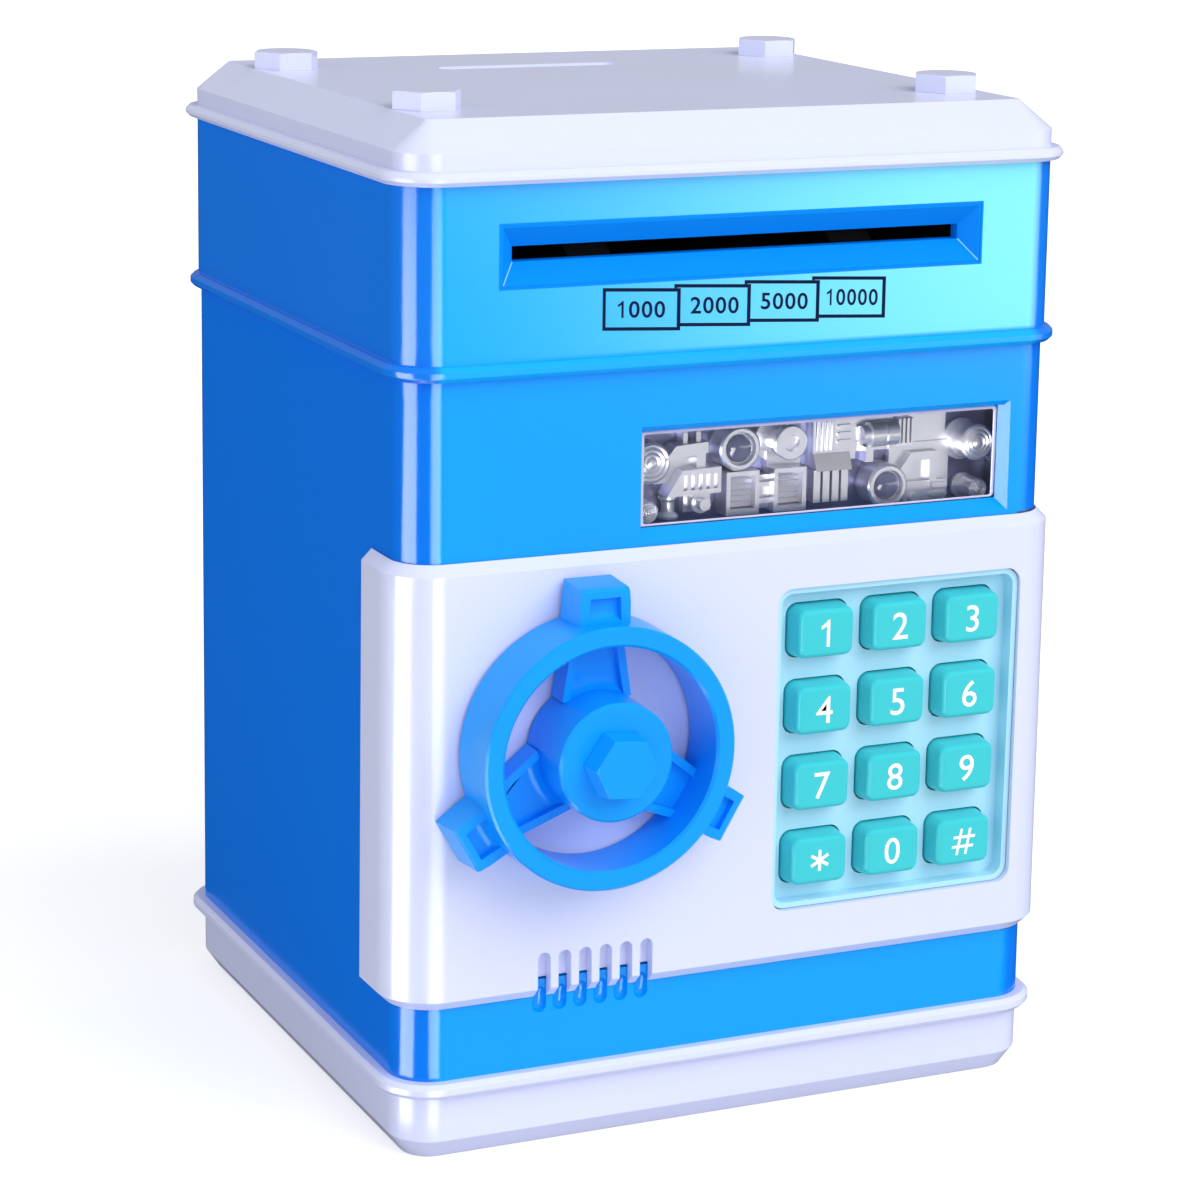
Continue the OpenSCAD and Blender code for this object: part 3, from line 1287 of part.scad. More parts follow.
// The hexagon leans in towards its front, between three pairs of leaning sides.
module wheel_cap() {
    half = hex_ac / 2 * cos(30);
    lean = 0.3;
    color("dodgerblue") wheel_place() {
        translate([0, 0, hub_d]) intersection() {
            side_pair(25, half, lean);
            side_pair(85, half, lean);
            side_pair(145, half, lean);
            rotate_extrude($fn = 96)
                polygon([[0, 0], [hex_ac, 0], [hex_ac, hex_h - 2], [hex_ac / 2 - lean - 0.5, hex_h],
                    [0, hex_h]]);
        }
        translate([0, 0, hub_d - 5]) cylinder(r = 1.5, h = 6, $fn = 48);
    }
}

// One pair of the hexagon's sides, facing the given angle.
module side_pair(angle, half, lean) {
    rotate(angle) rotate([90, 0, 0]) linear_extrude(2 * hex_ac, center = true)
        polygon([[-half - lean, 0], [half + lean, 0], [half - lean, hex_h], [-half + lean, hex_h]]);
}

square_w = 5.2;

module wheel_spindle() {
    back = latch_y + latch_t;
    color("silver") difference() {
        union() {
            facing(-wheel_left, latch_y, wheel_z)
                cylinder(r = spindle_r, h = wheel_back + hub_d - 4.5 + latch_y, $fn = 96);
            facing(-wheel_left, back, wheel_z) linear_extrude(latch_t + over)
                square(square_w, center = true);
        }
        wheel_place() translate([0, 0, hub_d - 6]) cylinder(r = 1.6, h = 4, $fn = 48);
        facing(-wheel_left, back + over, wheel_z) cylinder(r = 1.05, h = 6, $fn = 32);
    }
}

// Disc on the spindle; the plunger enters its notches when the latch is shut or open.
module lock_cam() {
    color("gold") facing(-wheel_left, cam_y + cam_t, wheel_z) difference() {
        cylinder(r = cam_r, h = cam_t, $fn = 96);
        translate([0, 0, -over]) cylinder(r = spindle_r + 0.02, h = cam_t + 2 * over, $fn = 64);
        for (a = [180, 270]) rotate(a)
            translate([cam_r - notch, -2, -over]) cube([notch + over, 4, cam_t + 2 * over]);
    }
}

latch_l = 29;

// Bar that swings behind the cabinet's catch; it stands upright while the door is free.
module latch_bar() {
    color("silver") facing(-wheel_left, latch_y + latch_t, wheel_z) difference() {
        union() {
            cylinder(r = 6.5, h = latch_t, $fn = 64);
            block([-4.5, 0, 0], [4.5, latch_l - 4.5, latch_t]);
            translate([0, latch_l - 4.5, 0]) cylinder(r = 4.5, h = latch_t, $fn = 64);
        }
        translate([0, 0, -over]) linear_extrude(latch_t + 2 * over) square(square_w + 0.06, center = true);
    }
}

module latch_screw() {
    color("silver") facing(-wheel_left, latch_y + latch_t + 0.02, wheel_z)
        rotate([180, 0, 0]) pan_screw(1, 5, 4.2, 1.4);
}

base();
base_screws();
battery_cells();
battery_contacts();
battery_cover();
battery_screw();
lower_body();
money_floor();
floor_screws();
speaker();
upper_body();
slot_bezel();
lid();
lid_bolts();
coin_chute();
machinery_insert();
window_lens();
window_screws();
main_pcb();
feeder_frame();
feeder_screws();
feed_motor();
drive_shaft();
drive_rollers();
drive_gear();
idler_shaft();
idler_rollers();
motor_pinion();
hinge_pins();
door_shell();
keypad_panel();
key_membrane();
keypad_pcb();
door_cover();
door_screws();
lock_solenoid();
lock_plunger();
handwheel();
wheel_cap();
wheel_spindle();
lock_cam();
latch_bar();
latch_screw();
key(0, 0);  // key_1
key(1, 0);  // key_2
key(2, 0);  // key_3
key(0, 1);  // key_4
key(1, 1);  // key_5
key(2, 1);  // key_6
key(0, 2);  // key_7
key(1, 2);  // key_8
key(2, 2);  // key_9
key(0, 3);  // key_star
key(1, 3);  // key_0
key(2, 3);  // key_hash
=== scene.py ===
"""Looks of a toy cash machine coin bank: finishes, printed numbers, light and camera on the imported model.

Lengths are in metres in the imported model's frame, where the front faces -Y and Z points up. An outline in
the plane of the front is given as [across, up], which stands for [X, Z].
"""

import logging
import math
from dataclasses import dataclass
from enum import Enum
from typing import Any, Sequence

import bpy
import numpy as np
from mathutils import Matrix, Vector


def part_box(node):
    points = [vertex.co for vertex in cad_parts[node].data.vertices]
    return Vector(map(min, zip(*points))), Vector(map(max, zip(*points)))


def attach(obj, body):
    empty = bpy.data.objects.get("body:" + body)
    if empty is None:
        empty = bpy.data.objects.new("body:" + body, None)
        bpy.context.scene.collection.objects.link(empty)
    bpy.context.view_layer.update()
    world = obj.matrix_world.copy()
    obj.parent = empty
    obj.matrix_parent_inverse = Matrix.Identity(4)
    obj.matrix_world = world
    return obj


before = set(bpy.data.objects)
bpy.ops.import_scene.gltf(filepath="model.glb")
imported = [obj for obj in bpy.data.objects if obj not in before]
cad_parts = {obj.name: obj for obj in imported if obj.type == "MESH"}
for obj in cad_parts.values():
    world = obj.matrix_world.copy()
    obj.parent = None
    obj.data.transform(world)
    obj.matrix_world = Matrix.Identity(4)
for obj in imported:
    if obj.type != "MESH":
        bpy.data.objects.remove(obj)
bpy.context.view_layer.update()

log = logging.getLogger("cash_machine_bank")

MM = 0.001
IMAGE_PX = 1200.0
PRINT_LIFT = 0.03 * MM
LEVEL_WITHIN = 0.01 * MM

Colour = tuple[float, float, float]
Shape = tuple[np.ndarray, list[Sequence[int]]]


def rgba(colour: Colour) -> tuple[float, float, float, float]:
    """Four-channel form of a linear colour."""
    return (*colour, 1.0)


def scaled(colour: Colour, factor: float) -> Colour:
    """The colour with each channel times the factor, kept at or under 1."""
    return tuple(min(1.0, channel * factor) for channel in colour)


class Wire:
    """A node's output socket on which Python operators add Math nodes."""

    def __init__(self, shader: "Shader", socket: bpy.types.NodeSocket) -> None:
        """Keeps the socket and the shader that it belongs to."""
        self.shader = shader
        self.socket = socket

    def _math(self, operation: str, first: "Wire | float", second: "Wire | float" = 0.0) -> "Wire":
        """Adds one Math node.

        Args:
            operation: the Math node's operation.
            first: its first value.
            second: its second value, if it takes two.

        Returns:
            The node's output.
        """
        return self.shader.add("ShaderNodeMath", {"operation": operation}, {0: first, 1: second})

    def __add__(self, other: "Wire | float") -> "Wire":
        """self + other."""
        return self._math("ADD", self, other)

    def __radd__(self, other: float) -> "Wire":
        """other + self."""
        return self._math("ADD", other, self)

    def __sub__(self, other: "Wire | float") -> "Wire":
        """self - other."""
        return self._math("SUBTRACT", self, other)

    def __rsub__(self, other: float) -> "Wire":
        """other - self."""
        return self._math("SUBTRACT", other, self)

    def __mul__(self, other: "Wire | float") -> "Wire":
        """self * other."""
        return self._math("MULTIPLY", self, other)

    def __rmul__(self, other: float) -> "Wire":
        """other * self."""
        return self._math("MULTIPLY", other, self)

    def __abs__(self) -> "Wire":
        """self without its sign."""
        return self._math("ABSOLUTE", self)

    def over(self, low: float, high: float) -> "Wire":
        """Smooth step from 0 at low to 1 at high."""
        return self.shader.add("ShaderNodeMapRange", {"interpolation_type": "SMOOTHSTEP"},
                               {"Value": self, "From Min": low, "From Max": high})


class Shader:
    """The node tree of a material or of the world while it is built."""

    def __init__(self, owner: bpy.types.Material | bpy.types.World) -> None:
        """Empties the tree of its owner.

        Args:
            owner: the material or world.
        """
        owner.use_nodes = True
        self.owner = owner
        self.tree = owner.node_tree
        self.tree.nodes.clear()

    @classmethod
    def new(cls, name: str) -> "Shader":
        """Starts a new material."""
        return cls(bpy.data.materials.new(name))

    def node(self, kind: str, settings: dict[str, Any] | None = None,
             inputs: dict[str | int, Any] | None = None) -> bpy.types.Node:
        """Adds a node.

        Args:
            kind: the node's type name.
            settings: its own settings, by name.
            inputs: values or wires for its sockets, by name or number.

        Returns:
            The node.
        """
        node = self.tree.nodes.new(kind)
        for key, value in (settings or {}).items():
            setattr(node, key, value)
        for key, value in (inputs or {}).items():
            if isinstance(value, Wire):
                self.tree.links.new(value.socket, node.inputs[key])
            else:
                node.inputs[key].default_value = value
        return node

    def add(self, kind: str, settings: dict[str, Any] | None = None,
            inputs: dict[str | int, Any] | None = None, output: str | int = 0) -> Wire:
        """Adds a node whose output is used.

        Args:
            kind: the node's type name.
            settings: its own settings, by name.
            inputs: values or wires for its sockets, by name or number.
            output: the output's name or number.

        Returns:
            That output.
        """
        return Wire(self, self.node(kind, settings, inputs).outputs[output])

    def place(self) -> Wire:
        """Object coordinates, in metres in the shared frame."""
        return self.add("ShaderNodeTexCoord", output="Object")

    def axis(self, place: Wire, name: str) -> Wire:
        """One axis, X, Y or Z, of a vector."""
        return self.add("ShaderNodeSeparateXYZ", None, {0: place}, name)

    def noise(self, place: Wire, waves: float, detail: float = 2.0) -> Wire:
        """Noise between 0 and 1 with the given number of waves to the metre."""
        inputs = {"Vector": place, "Scale": waves, "Detail": detail}
        return self.add("ShaderNodeTexNoise", None, inputs, "Fac")

    def mix(self, factor: Wire, first: Any, second: Any) -> Wire:
        """Mixes two colours, first at factor 0."""
        return self.add("ShaderNodeMix", {"data_type": "RGBA"}, {0: factor, 6: first, 7: second}, 2)

    def tinted(self, factor: Wire, colour: Colour, low: float, high: float) -> Wire:
        """The colour times low at factor 0 and times high at factor 1."""
        return self.mix(factor, rgba(scaled(colour, low)), rgba(scaled(colour, high)))

    def bump(self, height: Wire, strength: float, distance: float) -> Wire:
        """A normal from a height of 0 to 1 that stands for the distance, in metres."""
        return self.add("ShaderNodeBump", None,
                        {"Strength": strength, "Distance": distance, "Height": height})

    def surface(self, **sockets: Any) -> Wire:
        """A Principled shader; the names' underscores stand for spaces."""
        inputs = {name.replace("_", " "): value for name, value in sockets.items()}
        return self.add("ShaderNodeBsdfPrincipled", inputs=inputs)

    def glow(self, strength: Wire | float) -> Wire:
        """A white emission."""
        return self.add("ShaderNodeEmission", None, {"Strength": strength})

    def either(self, factor: Wire, first: Wire, second: Wire) -> Wire:
        """Mixes two shaders, first at factor 0."""
        return self.add("ShaderNodeMixShader", None, {0: factor, 1: first, 2: second})

    def ray(self, kind: str) -> Wire:
        """1 where light is traced along a ray of the kind that Light Path names, else 0."""
        return self.add("ShaderNodeLightPath", output=f"Is {kind} Ray")

    def finish(self, last: Wire) -> Any:
        """Links the last shader to the output.

        Args:
            last: the shader that the surface shows.

        Returns:
            The material or world.
        """
        for_world = isinstance(self.owner, bpy.types.World)
        self.node("ShaderNodeOutputWorld" if for_world else "ShaderNodeOutputMaterial", None,
                  {"Surface": last})
        return self.owner

    def finish_glow(self, last: Wire) -> bpy.types.Material:
        """As finish, for a glow that is not treated as a lamp.

        Args:
            last: the shader that the surface shows.

        Returns:
            The material.
        """
        material = self.finish(last)
        material.cycles.emission_sampling = "NONE"
        return material


class Finish:
    """A material that is built once and then shared.

    Waves are counted to the metre, roughness is its middle value, and a gloss field is the part of it that
    comes and goes with a pattern.
    """

    name: str

    def build(self) -> bpy.types.Material:
        """Makes the material."""
        raise NotImplementedError

    def material(self) -> bpy.types.Material:
        """The material, built at its first use."""
        return bpy.data.materials.get(self.name) or self.build()


@dataclass(frozen=True)
class Moulded(Finish):
    """Injection-moulded plastic with a faint cloudiness and the grain of its mould."""

    name: str
    colour: Colour
    roughness: float = 0.3
    coat: float = 0.3
    coat_roughness: float = 0.08
    specular: float = 0.5
    ior: float = 1.48
    cloud: float = 0.03
    cloud_waves: float = 26.0
    cloud_gloss: float = 0.06
    grain: float = 0.06
    grain_waves: float = 1600.0
    grain_gloss: float = 0.04
    grain_depth: float = 0.04 * MM

    def build(self) -> bpy.types.Material:
        """Clouds of about 40 mm shift the colour and gloss, grain of about 0.6 mm lifts the surface.

        Returns:
            The material.
        """
        shader = Shader.new(self.name)
        place = shader.place()
        clouds = shader.noise(place, self.cloud_waves, 3.0)
        grain = shader.noise(place, self.grain_waves)
        start = self.roughness - (self.cloud_gloss + self.grain_gloss) / 2
        return shader.finish(shader.surface(
            Base_Color=shader.tinted(clouds, self.colour, 1 - self.cloud, 1 + self.cloud),
            Roughness=clouds * self.cloud_gloss + grain * self.grain_gloss + start,
            Normal=shader.bump(grain, self.grain, self.grain_depth),
            Coat_Weight=self.coat, Coat_Roughness=self.coat_roughness,
            IOR=self.ior, Specular_IOR_Level=self.specular))


@dataclass(frozen=True)
class PearlWithPaintedLight(Finish):
    """Plastic with a pearl finish: a front tone that may turn from left to right above a height, which is
    painted reflection, and a darker side tone, which is painted shade.
    """

    name: str
    side: Colour
    left: Colour
    right: Colour
    left_x: float = -65.0 * MM
    right_x: float = 60.0 * MM
    painted_side_shade_x: tuple[float, float] = (57.6 * MM, 60.2 * MM)
    front_y: tuple[float, float] = (-20.0 * MM, 20.0 * MM)
    painted_reflection_z: tuple[float, float] = (145.2 * MM, 146.0 * MM)
    roughness: float = 0.18
    coat: float = 0.05
    coat_roughness: float = 0.15
    specular: float = 0.42
    ior: float = 1.5
    shine: float = 1.1
    cloud: float = 0.02
    cloud_waves: float = 20.0
    cloud_gloss: float = 0.04
    flake: float = 0.03
    flake_waves: float = 3800.0
    flake_gloss: float = 0.04
    flake_bump: float = 0.02
    flake_depth: float = 0.02 * MM

    def build(self) -> bpy.types.Material:
        """The tone runs from left to right on the front above a set height, a painted reflection, and is
        the side tone, painted shade, beyond a set distance from the middle.

        Flakes of about 0.3 mm and clouds of 50 mm mix in a little of the right tone times shine.

        Returns:
            The material.
        """
        shader = Shader.new(self.name)
        place = shader.place()
        x, y, z = (shader.axis(place, name) for name in "XYZ")
        # Painted reflection: on the front, above a set height, the tone turns from the left colour to the
        # right one.
        painted_reflection = x.over(self.left_x, self.right_x) * z.over(*self.painted_reflection_z) * (1 - y.over(*self.front_y))
        front = shader.mix(painted_reflection, rgba(self.left), rgba(self.right))
        # Painted shade: beyond a set distance from the middle, the walls take the darker side tone.
        tone = shader.mix(abs(x).over(*self.painted_side_shade_x), front, rgba(self.side))
        flakes = shader.noise(place, self.flake_waves, 1.0)
        clouds = shader.noise(place, self.cloud_waves, 3.0)
        bright = flakes * self.flake + clouds * self.cloud
        start = self.roughness - (self.cloud_gloss + self.flake_gloss) / 2
        return shader.finish(shader.surface(
            Base_Color=shader.mix(bright, tone, rgba(scaled(self.right, self.shine))),
            Roughness=clouds * self.cloud_gloss + flakes * self.flake_gloss + start,
            Normal=shader.bump(flakes, self.flake_bump, self.flake_depth),
            Coat_Weight=self.coat, Coat_Roughness=self.coat_roughness,
            IOR=self.ior, Specular_IOR_Level=self.specular))


@dataclass(frozen=True)
class MetallisedWithPaintedShade(Finish):
    """Plastic with a thin bright coat of metal, with painted shade darkening its hollows."""

    name: str
    colour: Colour
    painted_hollow_shade: Colour
    floor_y: float
    face_y: float
    metallic: float = 0.8
    roughness: float = 0.3
    cloud: float = 0.1
    cloud_waves: float = 300.0
    cloud_gloss: float = 0.1
    dullest: float = 1.3
    grain: float = 0.06
    grain_waves: float = 2400.0
    grain_depth: float = 0.02 * MM

    def build(self) -> bpy.types.Material:
        """The tone runs from the dark blue of painted shade at floor_y to colour at face_y; clouds of 3 mm
        shift tone and gloss.

        Returns:
            The material.
        """
        shader = Shader.new(self.name)
        place = shader.place()
        clouds = shader.noise(place, self.cloud_waves, 3.0)
        grain = shader.noise(place, self.grain_waves)
        # Painted shade: the deeper the surface lies, towards floor_y, the darker and bluer it is.
        out_of_painted_shade = 1 - shader.axis(place, "Y").over(self.face_y, self.floor_y)
        tone = shader.mix(out_of_painted_shade, rgba(self.painted_hollow_shade), rgba(self.colour))
        return shader.finish(shader.surface(
            Base_Color=shader.mix(clouds * self.cloud, tone, rgba(scaled(self.painted_hollow_shade, self.dullest))),
            Roughness=clouds * self.cloud_gloss + (self.roughness - self.cloud_gloss / 2),
            Metallic=self.metallic,
            Normal=shader.bump(grain, self.grain, self.grain_depth)))


@dataclass(frozen=True)
class DarkGlass(Finish):
    """Dark polished glass with faint clouds in it."""

    name: str
    colour: Colour
    roughness: float = 0.125
    coat: float = 1.0
    coat_roughness: float = 0.03
    cloud: float = 0.3
    cloud_waves: float = 700.0
    cloud_gloss: float = 0.05

    def build(self) -> bpy.types.Material:
        """Clouds of about 1.5 mm in a deep tone under a polished skin.

        Returns:
            The material.
        """
        shader = Shader.new(self.name)
        clouds = shader.noise(shader.place(), self.cloud_waves)
        return shader.finish(shader.surface(
            Base_Color=shader.tinted(clouds, self.colour, 1 - self.cloud, 1 + self.cloud),
            Roughness=clouds * self.cloud_gloss + (self.roughness - self.cloud_gloss / 2),
            Coat_Weight=self.coat, Coat_Roughness=self.coat_roughness))


@dataclass(frozen=True)
class Turned(Finish):
    """Metal with the fine lines that a tool leaves across it."""

    name: str
    colour: Colour
    roughness: float = 0.32
    stretch: float = 0.06
    line_waves: float = 3600.0
    line_gloss: float = 0.18
    line_tones: tuple[float, float] = (0.88, 1.06)
    line_bump: float = 0.12
    line_depth: float = 0.03 * MM

    def build(self) -> bpy.types.Material:
        """Noise drawn out along X makes the lines, which change tone and gloss and lift the surface.

        Returns:
            The material.
        """
        shader = Shader.new(self.name)
        drawn = shader.add("ShaderNodeMapping", None,
                           {"Vector": shader.place(), "Scale": (self.stretch, 1.0, 1.0)})
        lines = shader.noise(drawn, self.line_waves, 3.0)
        return shader.finish(shader.surface(
            Base_Color=shader.tinted(lines, self.colour, *self.line_tones),
            Roughness=lines * self.line_gloss + (self.roughness - self.line_gloss / 2),
            Metallic=1.0,
            Normal=shader.bump(lines, self.line_bump, self.line_depth)))


@dataclass(frozen=True)
class Board(Finish):
    """Circuit board: solder mask over a net of copper tracks."""

    name: str
    mask: Colour
    track: Colour
    waves: float = 300.0
    scatter: float = 0.6
    track_edge: tuple[float, float] = (0.03, 0.06)
    track_share: float = 0.6
    track_bump: float = 0.3
    track_depth: float = 0.05 * MM
    roughness: float = 0.35
    cloud_gloss: float = 0.1

    def build(self) -> bpy.types.Material:
        """The borders between cells of about 3 mm stand for the tracks under the mask.

        Returns:
            The material.
        """
        shader = Shader.new(self.name)
        place = shader.place()
        cells = {"Vector": place, "Scale": self.waves, "Randomness": self.scatter}
        border = shader.add("ShaderNodeTexVoronoi", {"feature": "DISTANCE_TO_EDGE"}, cells, "Distance")
        tracks = 1 - border.over(*self.track_edge)
        clouds = shader.noise(place, self.waves)
        return shader.finish(shader.surface(
            Base_Color=shader.mix(tracks * self.track_share, rgba(self.mask), rgba(self.track)),
            Roughness=clouds * self.cloud_gloss + (self.roughness - self.cloud_gloss / 2),
            Normal=shader.bump(tracks, self.track_bump, self.track_depth)))


@dataclass(frozen=True)
class Clear(Finish):
    """Clear moulded plastic: light passes straight through and the skin reflects."""

    name: str
    tint: Colour = (0.99, 0.993, 1.0)
    skin_roughness: float = 0.03
    skin_share: float = 0.03
    grazing_share: float = 0.9

    def build(self) -> bpy.types.Material:
        """The skin's share is skin_share + grazing_share * facing^5, the same from either side.

        Returns:
            The material.
        """
        shader = Shader.new(self.name)
        clear = shader.add("ShaderNodeBsdfTransparent", None, {"Color": rgba(self.tint)})
        skin = shader.add("ShaderNodeBsdfGlossy", None,
                          {"Color": (1.0, 1.0, 1.0, 1.0), "Roughness": self.skin_roughness})
        facing = shader.add("ShaderNodeLayerWeight", None, {"Blend": 0.5}, "Facing")
        square = facing * facing
        share = square * square * facing * self.grazing_share + self.skin_share
        return shader.finish(shader.either(share, clear, skin))


@dataclass(frozen=True)
class Ink(Finish):
    """Printed ink, slightly uneven."""

    name: str
    colour: Colour
    roughness: float = 0.5
    specular: float = 0.08
    patch: float = 0.1
    patch_waves: float = 3000.0
    patch_gloss: float = 0.1

    def build(self) -> bpy.types.Material:
        """Patches of about 0.3 mm thin the ink a little.

        Returns:
            The material.
        """
        shader = Shader.new(self.name)
        patches = shader.noise(shader.place(), self.patch_waves)
        return shader.finish(shader.surface(
            Base_Color=shader.tinted(patches, self.colour, 1.0, 1 + self.patch),
            Roughness=patches * self.patch_gloss + (self.roughness - self.patch_gloss / 2),
            Specular_IOR_Level=self.specular))


# Painted shade: the darker blue of the cabinet's side walls.
PAINTED_SIDE_SHADE_BLUE: Colour = (0.0, 0.19, 0.87)
FRONT_BLUE: Colour = (0.0, 0.345, 0.98)

WHITE = Moulded("lavender white plastic", (0.70, 0.74, 0.985), roughness=0.32, coat=0.2, cloud=0.012)
LOWER_BLUE = PearlWithPaintedLight("pearl blue with painted side shade, lower cabinet", PAINTED_SIDE_SHADE_BLUE, FRONT_BLUE, FRONT_BLUE)
# Painted reflection: the upper front's blue, lighter than the lower cabinet's and turning pale cyan towards
# the right.
UPPER_BLUE = PearlWithPaintedLight("pearl blue with painted shade and reflection, upper cabinet", PAINTED_SIDE_SHADE_BLUE, (0.0, 0.40, 0.98), (0.19, 0.80, 0.98))
AZURE = Moulded("azure plastic", (0.0, 0.26, 0.90), roughness=0.5, coat=0.0, specular=0.12, cloud=0.01)
# Painted highlight: the pale azure of the strips on the funnel's mitres.
AZURE_HIGHLIGHT = Moulded("azure painted highlight", (0.22, 0.62, 0.98), roughness=0.35, coat=0.0)
WHEEL_BLUE = Moulded("wheel blue plastic", (0.003, 0.335, 0.98), coat=0.08, specular=0.25)
RECESS = Moulded("pale blue plastic", (0.46, 0.80, 0.98), roughness=0.35, coat=0.1, specular=0.4)
KEY_TEAL = Moulded("turquoise key plastic", (0.045, 0.60, 0.66), roughness=0.4, coat=0.1, specular=0.4)
LENS = Clear("clear lens")
# Painted highlight: the pale opaque colour of the strip on the lens's edge.
LENS_EDGE_HIGHLIGHT = Moulded("lens edge, painted highlight", (0.60, 0.58, 0.78), roughness=0.12, coat=0.6)
# Painted shade: the relief's hollows take the dark blue second colour.
SILVER_PAINTED_SHADE = MetallisedWithPaintedShade("metallised relief, painted shade in hollows", (0.93, 0.93, 0.99), (0.08, 0.09, 0.32),
                    floor_y=-47.5 * MM, face_y=-49.5 * MM)
PORTHOLE = DarkGlass("porthole glass", (0.11, 0.12, 0.22))
NATURAL = Moulded("natural white plastic", (0.78, 0.78, 0.74), roughness=0.45, coat=0.0)
BLACK = Moulded("black plastic", (0.015, 0.015, 0.017), roughness=0.5, coat=0.0)
RUBBER = Moulded("black rubber", (0.02, 0.02, 0.02), roughness=0.75, coat=0.0, grain=0.5)
STEEL = Turned("zinc plated steel", (0.62, 0.63, 0.65))
BRASS = Turned("turned brass", (0.72, 0.5, 0.2))
CELL = Moulded("cell wrap", (0.05, 0.07, 0.11), coat=0.6)
BOARD = Board("circuit board", (0.01, 0.11, 0.05), (0.05, 0.25, 0.1))
WHITE_INK = Ink("white ink", (0.9, 0.92, 0.92))
NAVY_INK = Ink("navy ink", (0.006, 0.010, 0.045))


class Edge(Enum):
    """How a moulded or cut edge is softened: the width of the rounding, in metres."""

    NONE = 0.0
    FINE = 0.12 * MM
    SMALL = 0.25 * MM
    MEDIUM = 0.5 * MM


@dataclass(frozen=True)
class Rounding:
    """Modifiers that soften a CAD piece's sharp edges; its own mesh stays as it is. Angles in degrees."""

    weld_within: float = 0.01 * MM
    flat_within: float = 0.5
    sharp_over: float = 24.0
    segments: int = 3
    face_weight: int = 60

    def add(self, piece: bpy.types.Object, edge: Edge) -> None:
        """Welds the triangles, joins the flat ones, rounds the sharp edges and evens out the shading.

        Args:
            piece: the CAD node's object.
            edge: how far its edges are rounded.
        """
        weld = piece.modifiers.new("weld", "WELD")
        weld.merge_threshold = self.weld_within
        flat = piece.modifiers.new("flat faces", "DECIMATE")
        flat.decimate_type = "DISSOLVE"
        flat.angle_limit = math.radians(self.flat_within)
        bevel = piece.modifiers.new("rounding", "BEVEL")
        bevel.limit_method = "ANGLE"
        bevel.angle_limit = math.radians(self.sharp_over)
        bevel.width = edge.value
        bevel.segments = self.segments
        normals = piece.modifiers.new("normals", "WEIGHTED_NORMAL")
        normals.weight = self.face_weight


def dress(finish: Finish, *nodes: str, edge: Edge = Edge.NONE) -> None:
    """Gives CAD nodes a finish and, where asked, rounds their sharp edges.

    Args:
        finish: the finish.
        nodes: the nodes' names.
        edge: how far their edges are rounded.
    """
    for node in nodes:
        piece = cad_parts[node]
        piece.data.materials.clear()
        piece.data.materials.append(finish.material())
        if edge is not Edge.NONE:
            Rounding().add(piece, edge)
        log.info("dressed %s with %s", node, finish.name)


def mesh_object(name: str, shape: Shape, material: bpy.types.Material) -> bpy.types.Object:
    """Makes an object from points in the shared frame and puts it in the scene.

    Args:
        name: the object's name.
        shape: its points, in metres, and its faces.
        material: its material.

    Returns:
        The new object.
    """
    points, faces = shape
    mesh = bpy.data.meshes.new(name)
    mesh.from_pydata(points.tolist(), [], faces)
    mesh.materials.append(material)
    made = bpy.data.objects.new(name, mesh)
    bpy.context.scene.collection.objects.link(made)
    return made


def mesh_piece(name: str, shape: Shape, finish: Finish, body: str) -> None:
    """Makes a new piece of the coin bank and lets it ride on a body.

    Args:
        name: the piece's name.
        shape: its points, in metres, and its faces.
        finish: its finish.
        body: the body that carries it.
    """
    piece = mesh_object(name, shape, finish.material())
    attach(piece, body)
    log.info("made %s", name)


def upright(flat: np.ndarray, y: np.ndarray | float) -> np.ndarray:
    """Stands an outline up: [across, up] becomes [across, y, up]."""
    return np.stack([flat[:, 0], np.broadcast_to(y, len(flat)), flat[:, 1]], axis=1)


def joined(outlines: Sequence[Shape]) -> Shape:
    """One outline from several.

    Args:
        outlines: the outlines, which keep clear of one another.

    Returns:
        Their points one after another, and their faces numbered to suit.
    """
    starts = np.cumsum([0] + [len(points) for points, _ in outlines])
    faces = [tuple(corner + start for corner in face)
             for start, (_, group) in zip(starts.tolist(), outlines) for face in group]
    return np.concatenate([points for points, _ in outlines]), faces


def bars(boxes: Sequence[tuple[float, float, float, float]]) -> Shape:
    """Level rectangles that keep clear of one another.

    Args:
        boxes: each rectangle as [left, low, right, high], in metres.

    Returns:
        Points as [across, up] and the faces: the four corners of each box in turn.
    """
    sides = np.asarray(boxes, float)
    corners = sides[:, [[0, 1], [2, 1], [2, 3], [0, 3]]].reshape(-1, 2)
    return corners, np.arange(len(corners)).reshape(-1, 4).tolist()


def ring_faces(rows: int, steps: int) -> np.ndarray:
    """Faces between closed rows of points, each row beside the one before.

    Args:
        rows: how many rows there are.
        steps: how many points each row has.

    Returns:
        Each face as four numbers: point j of row i, the next point of that row, and the same two of row
        i + 1 in the other order.
    """
    i, j = np.meshgrid(np.arange(rows - 1), np.arange(steps), indexing="ij")
    k = (j + 1) % steps
    corners = [i * steps + j, i * steps + k, (i + 1) * steps + k, (i + 1) * steps + j]
    return np.stack(corners, axis=2).reshape(-1, 4)


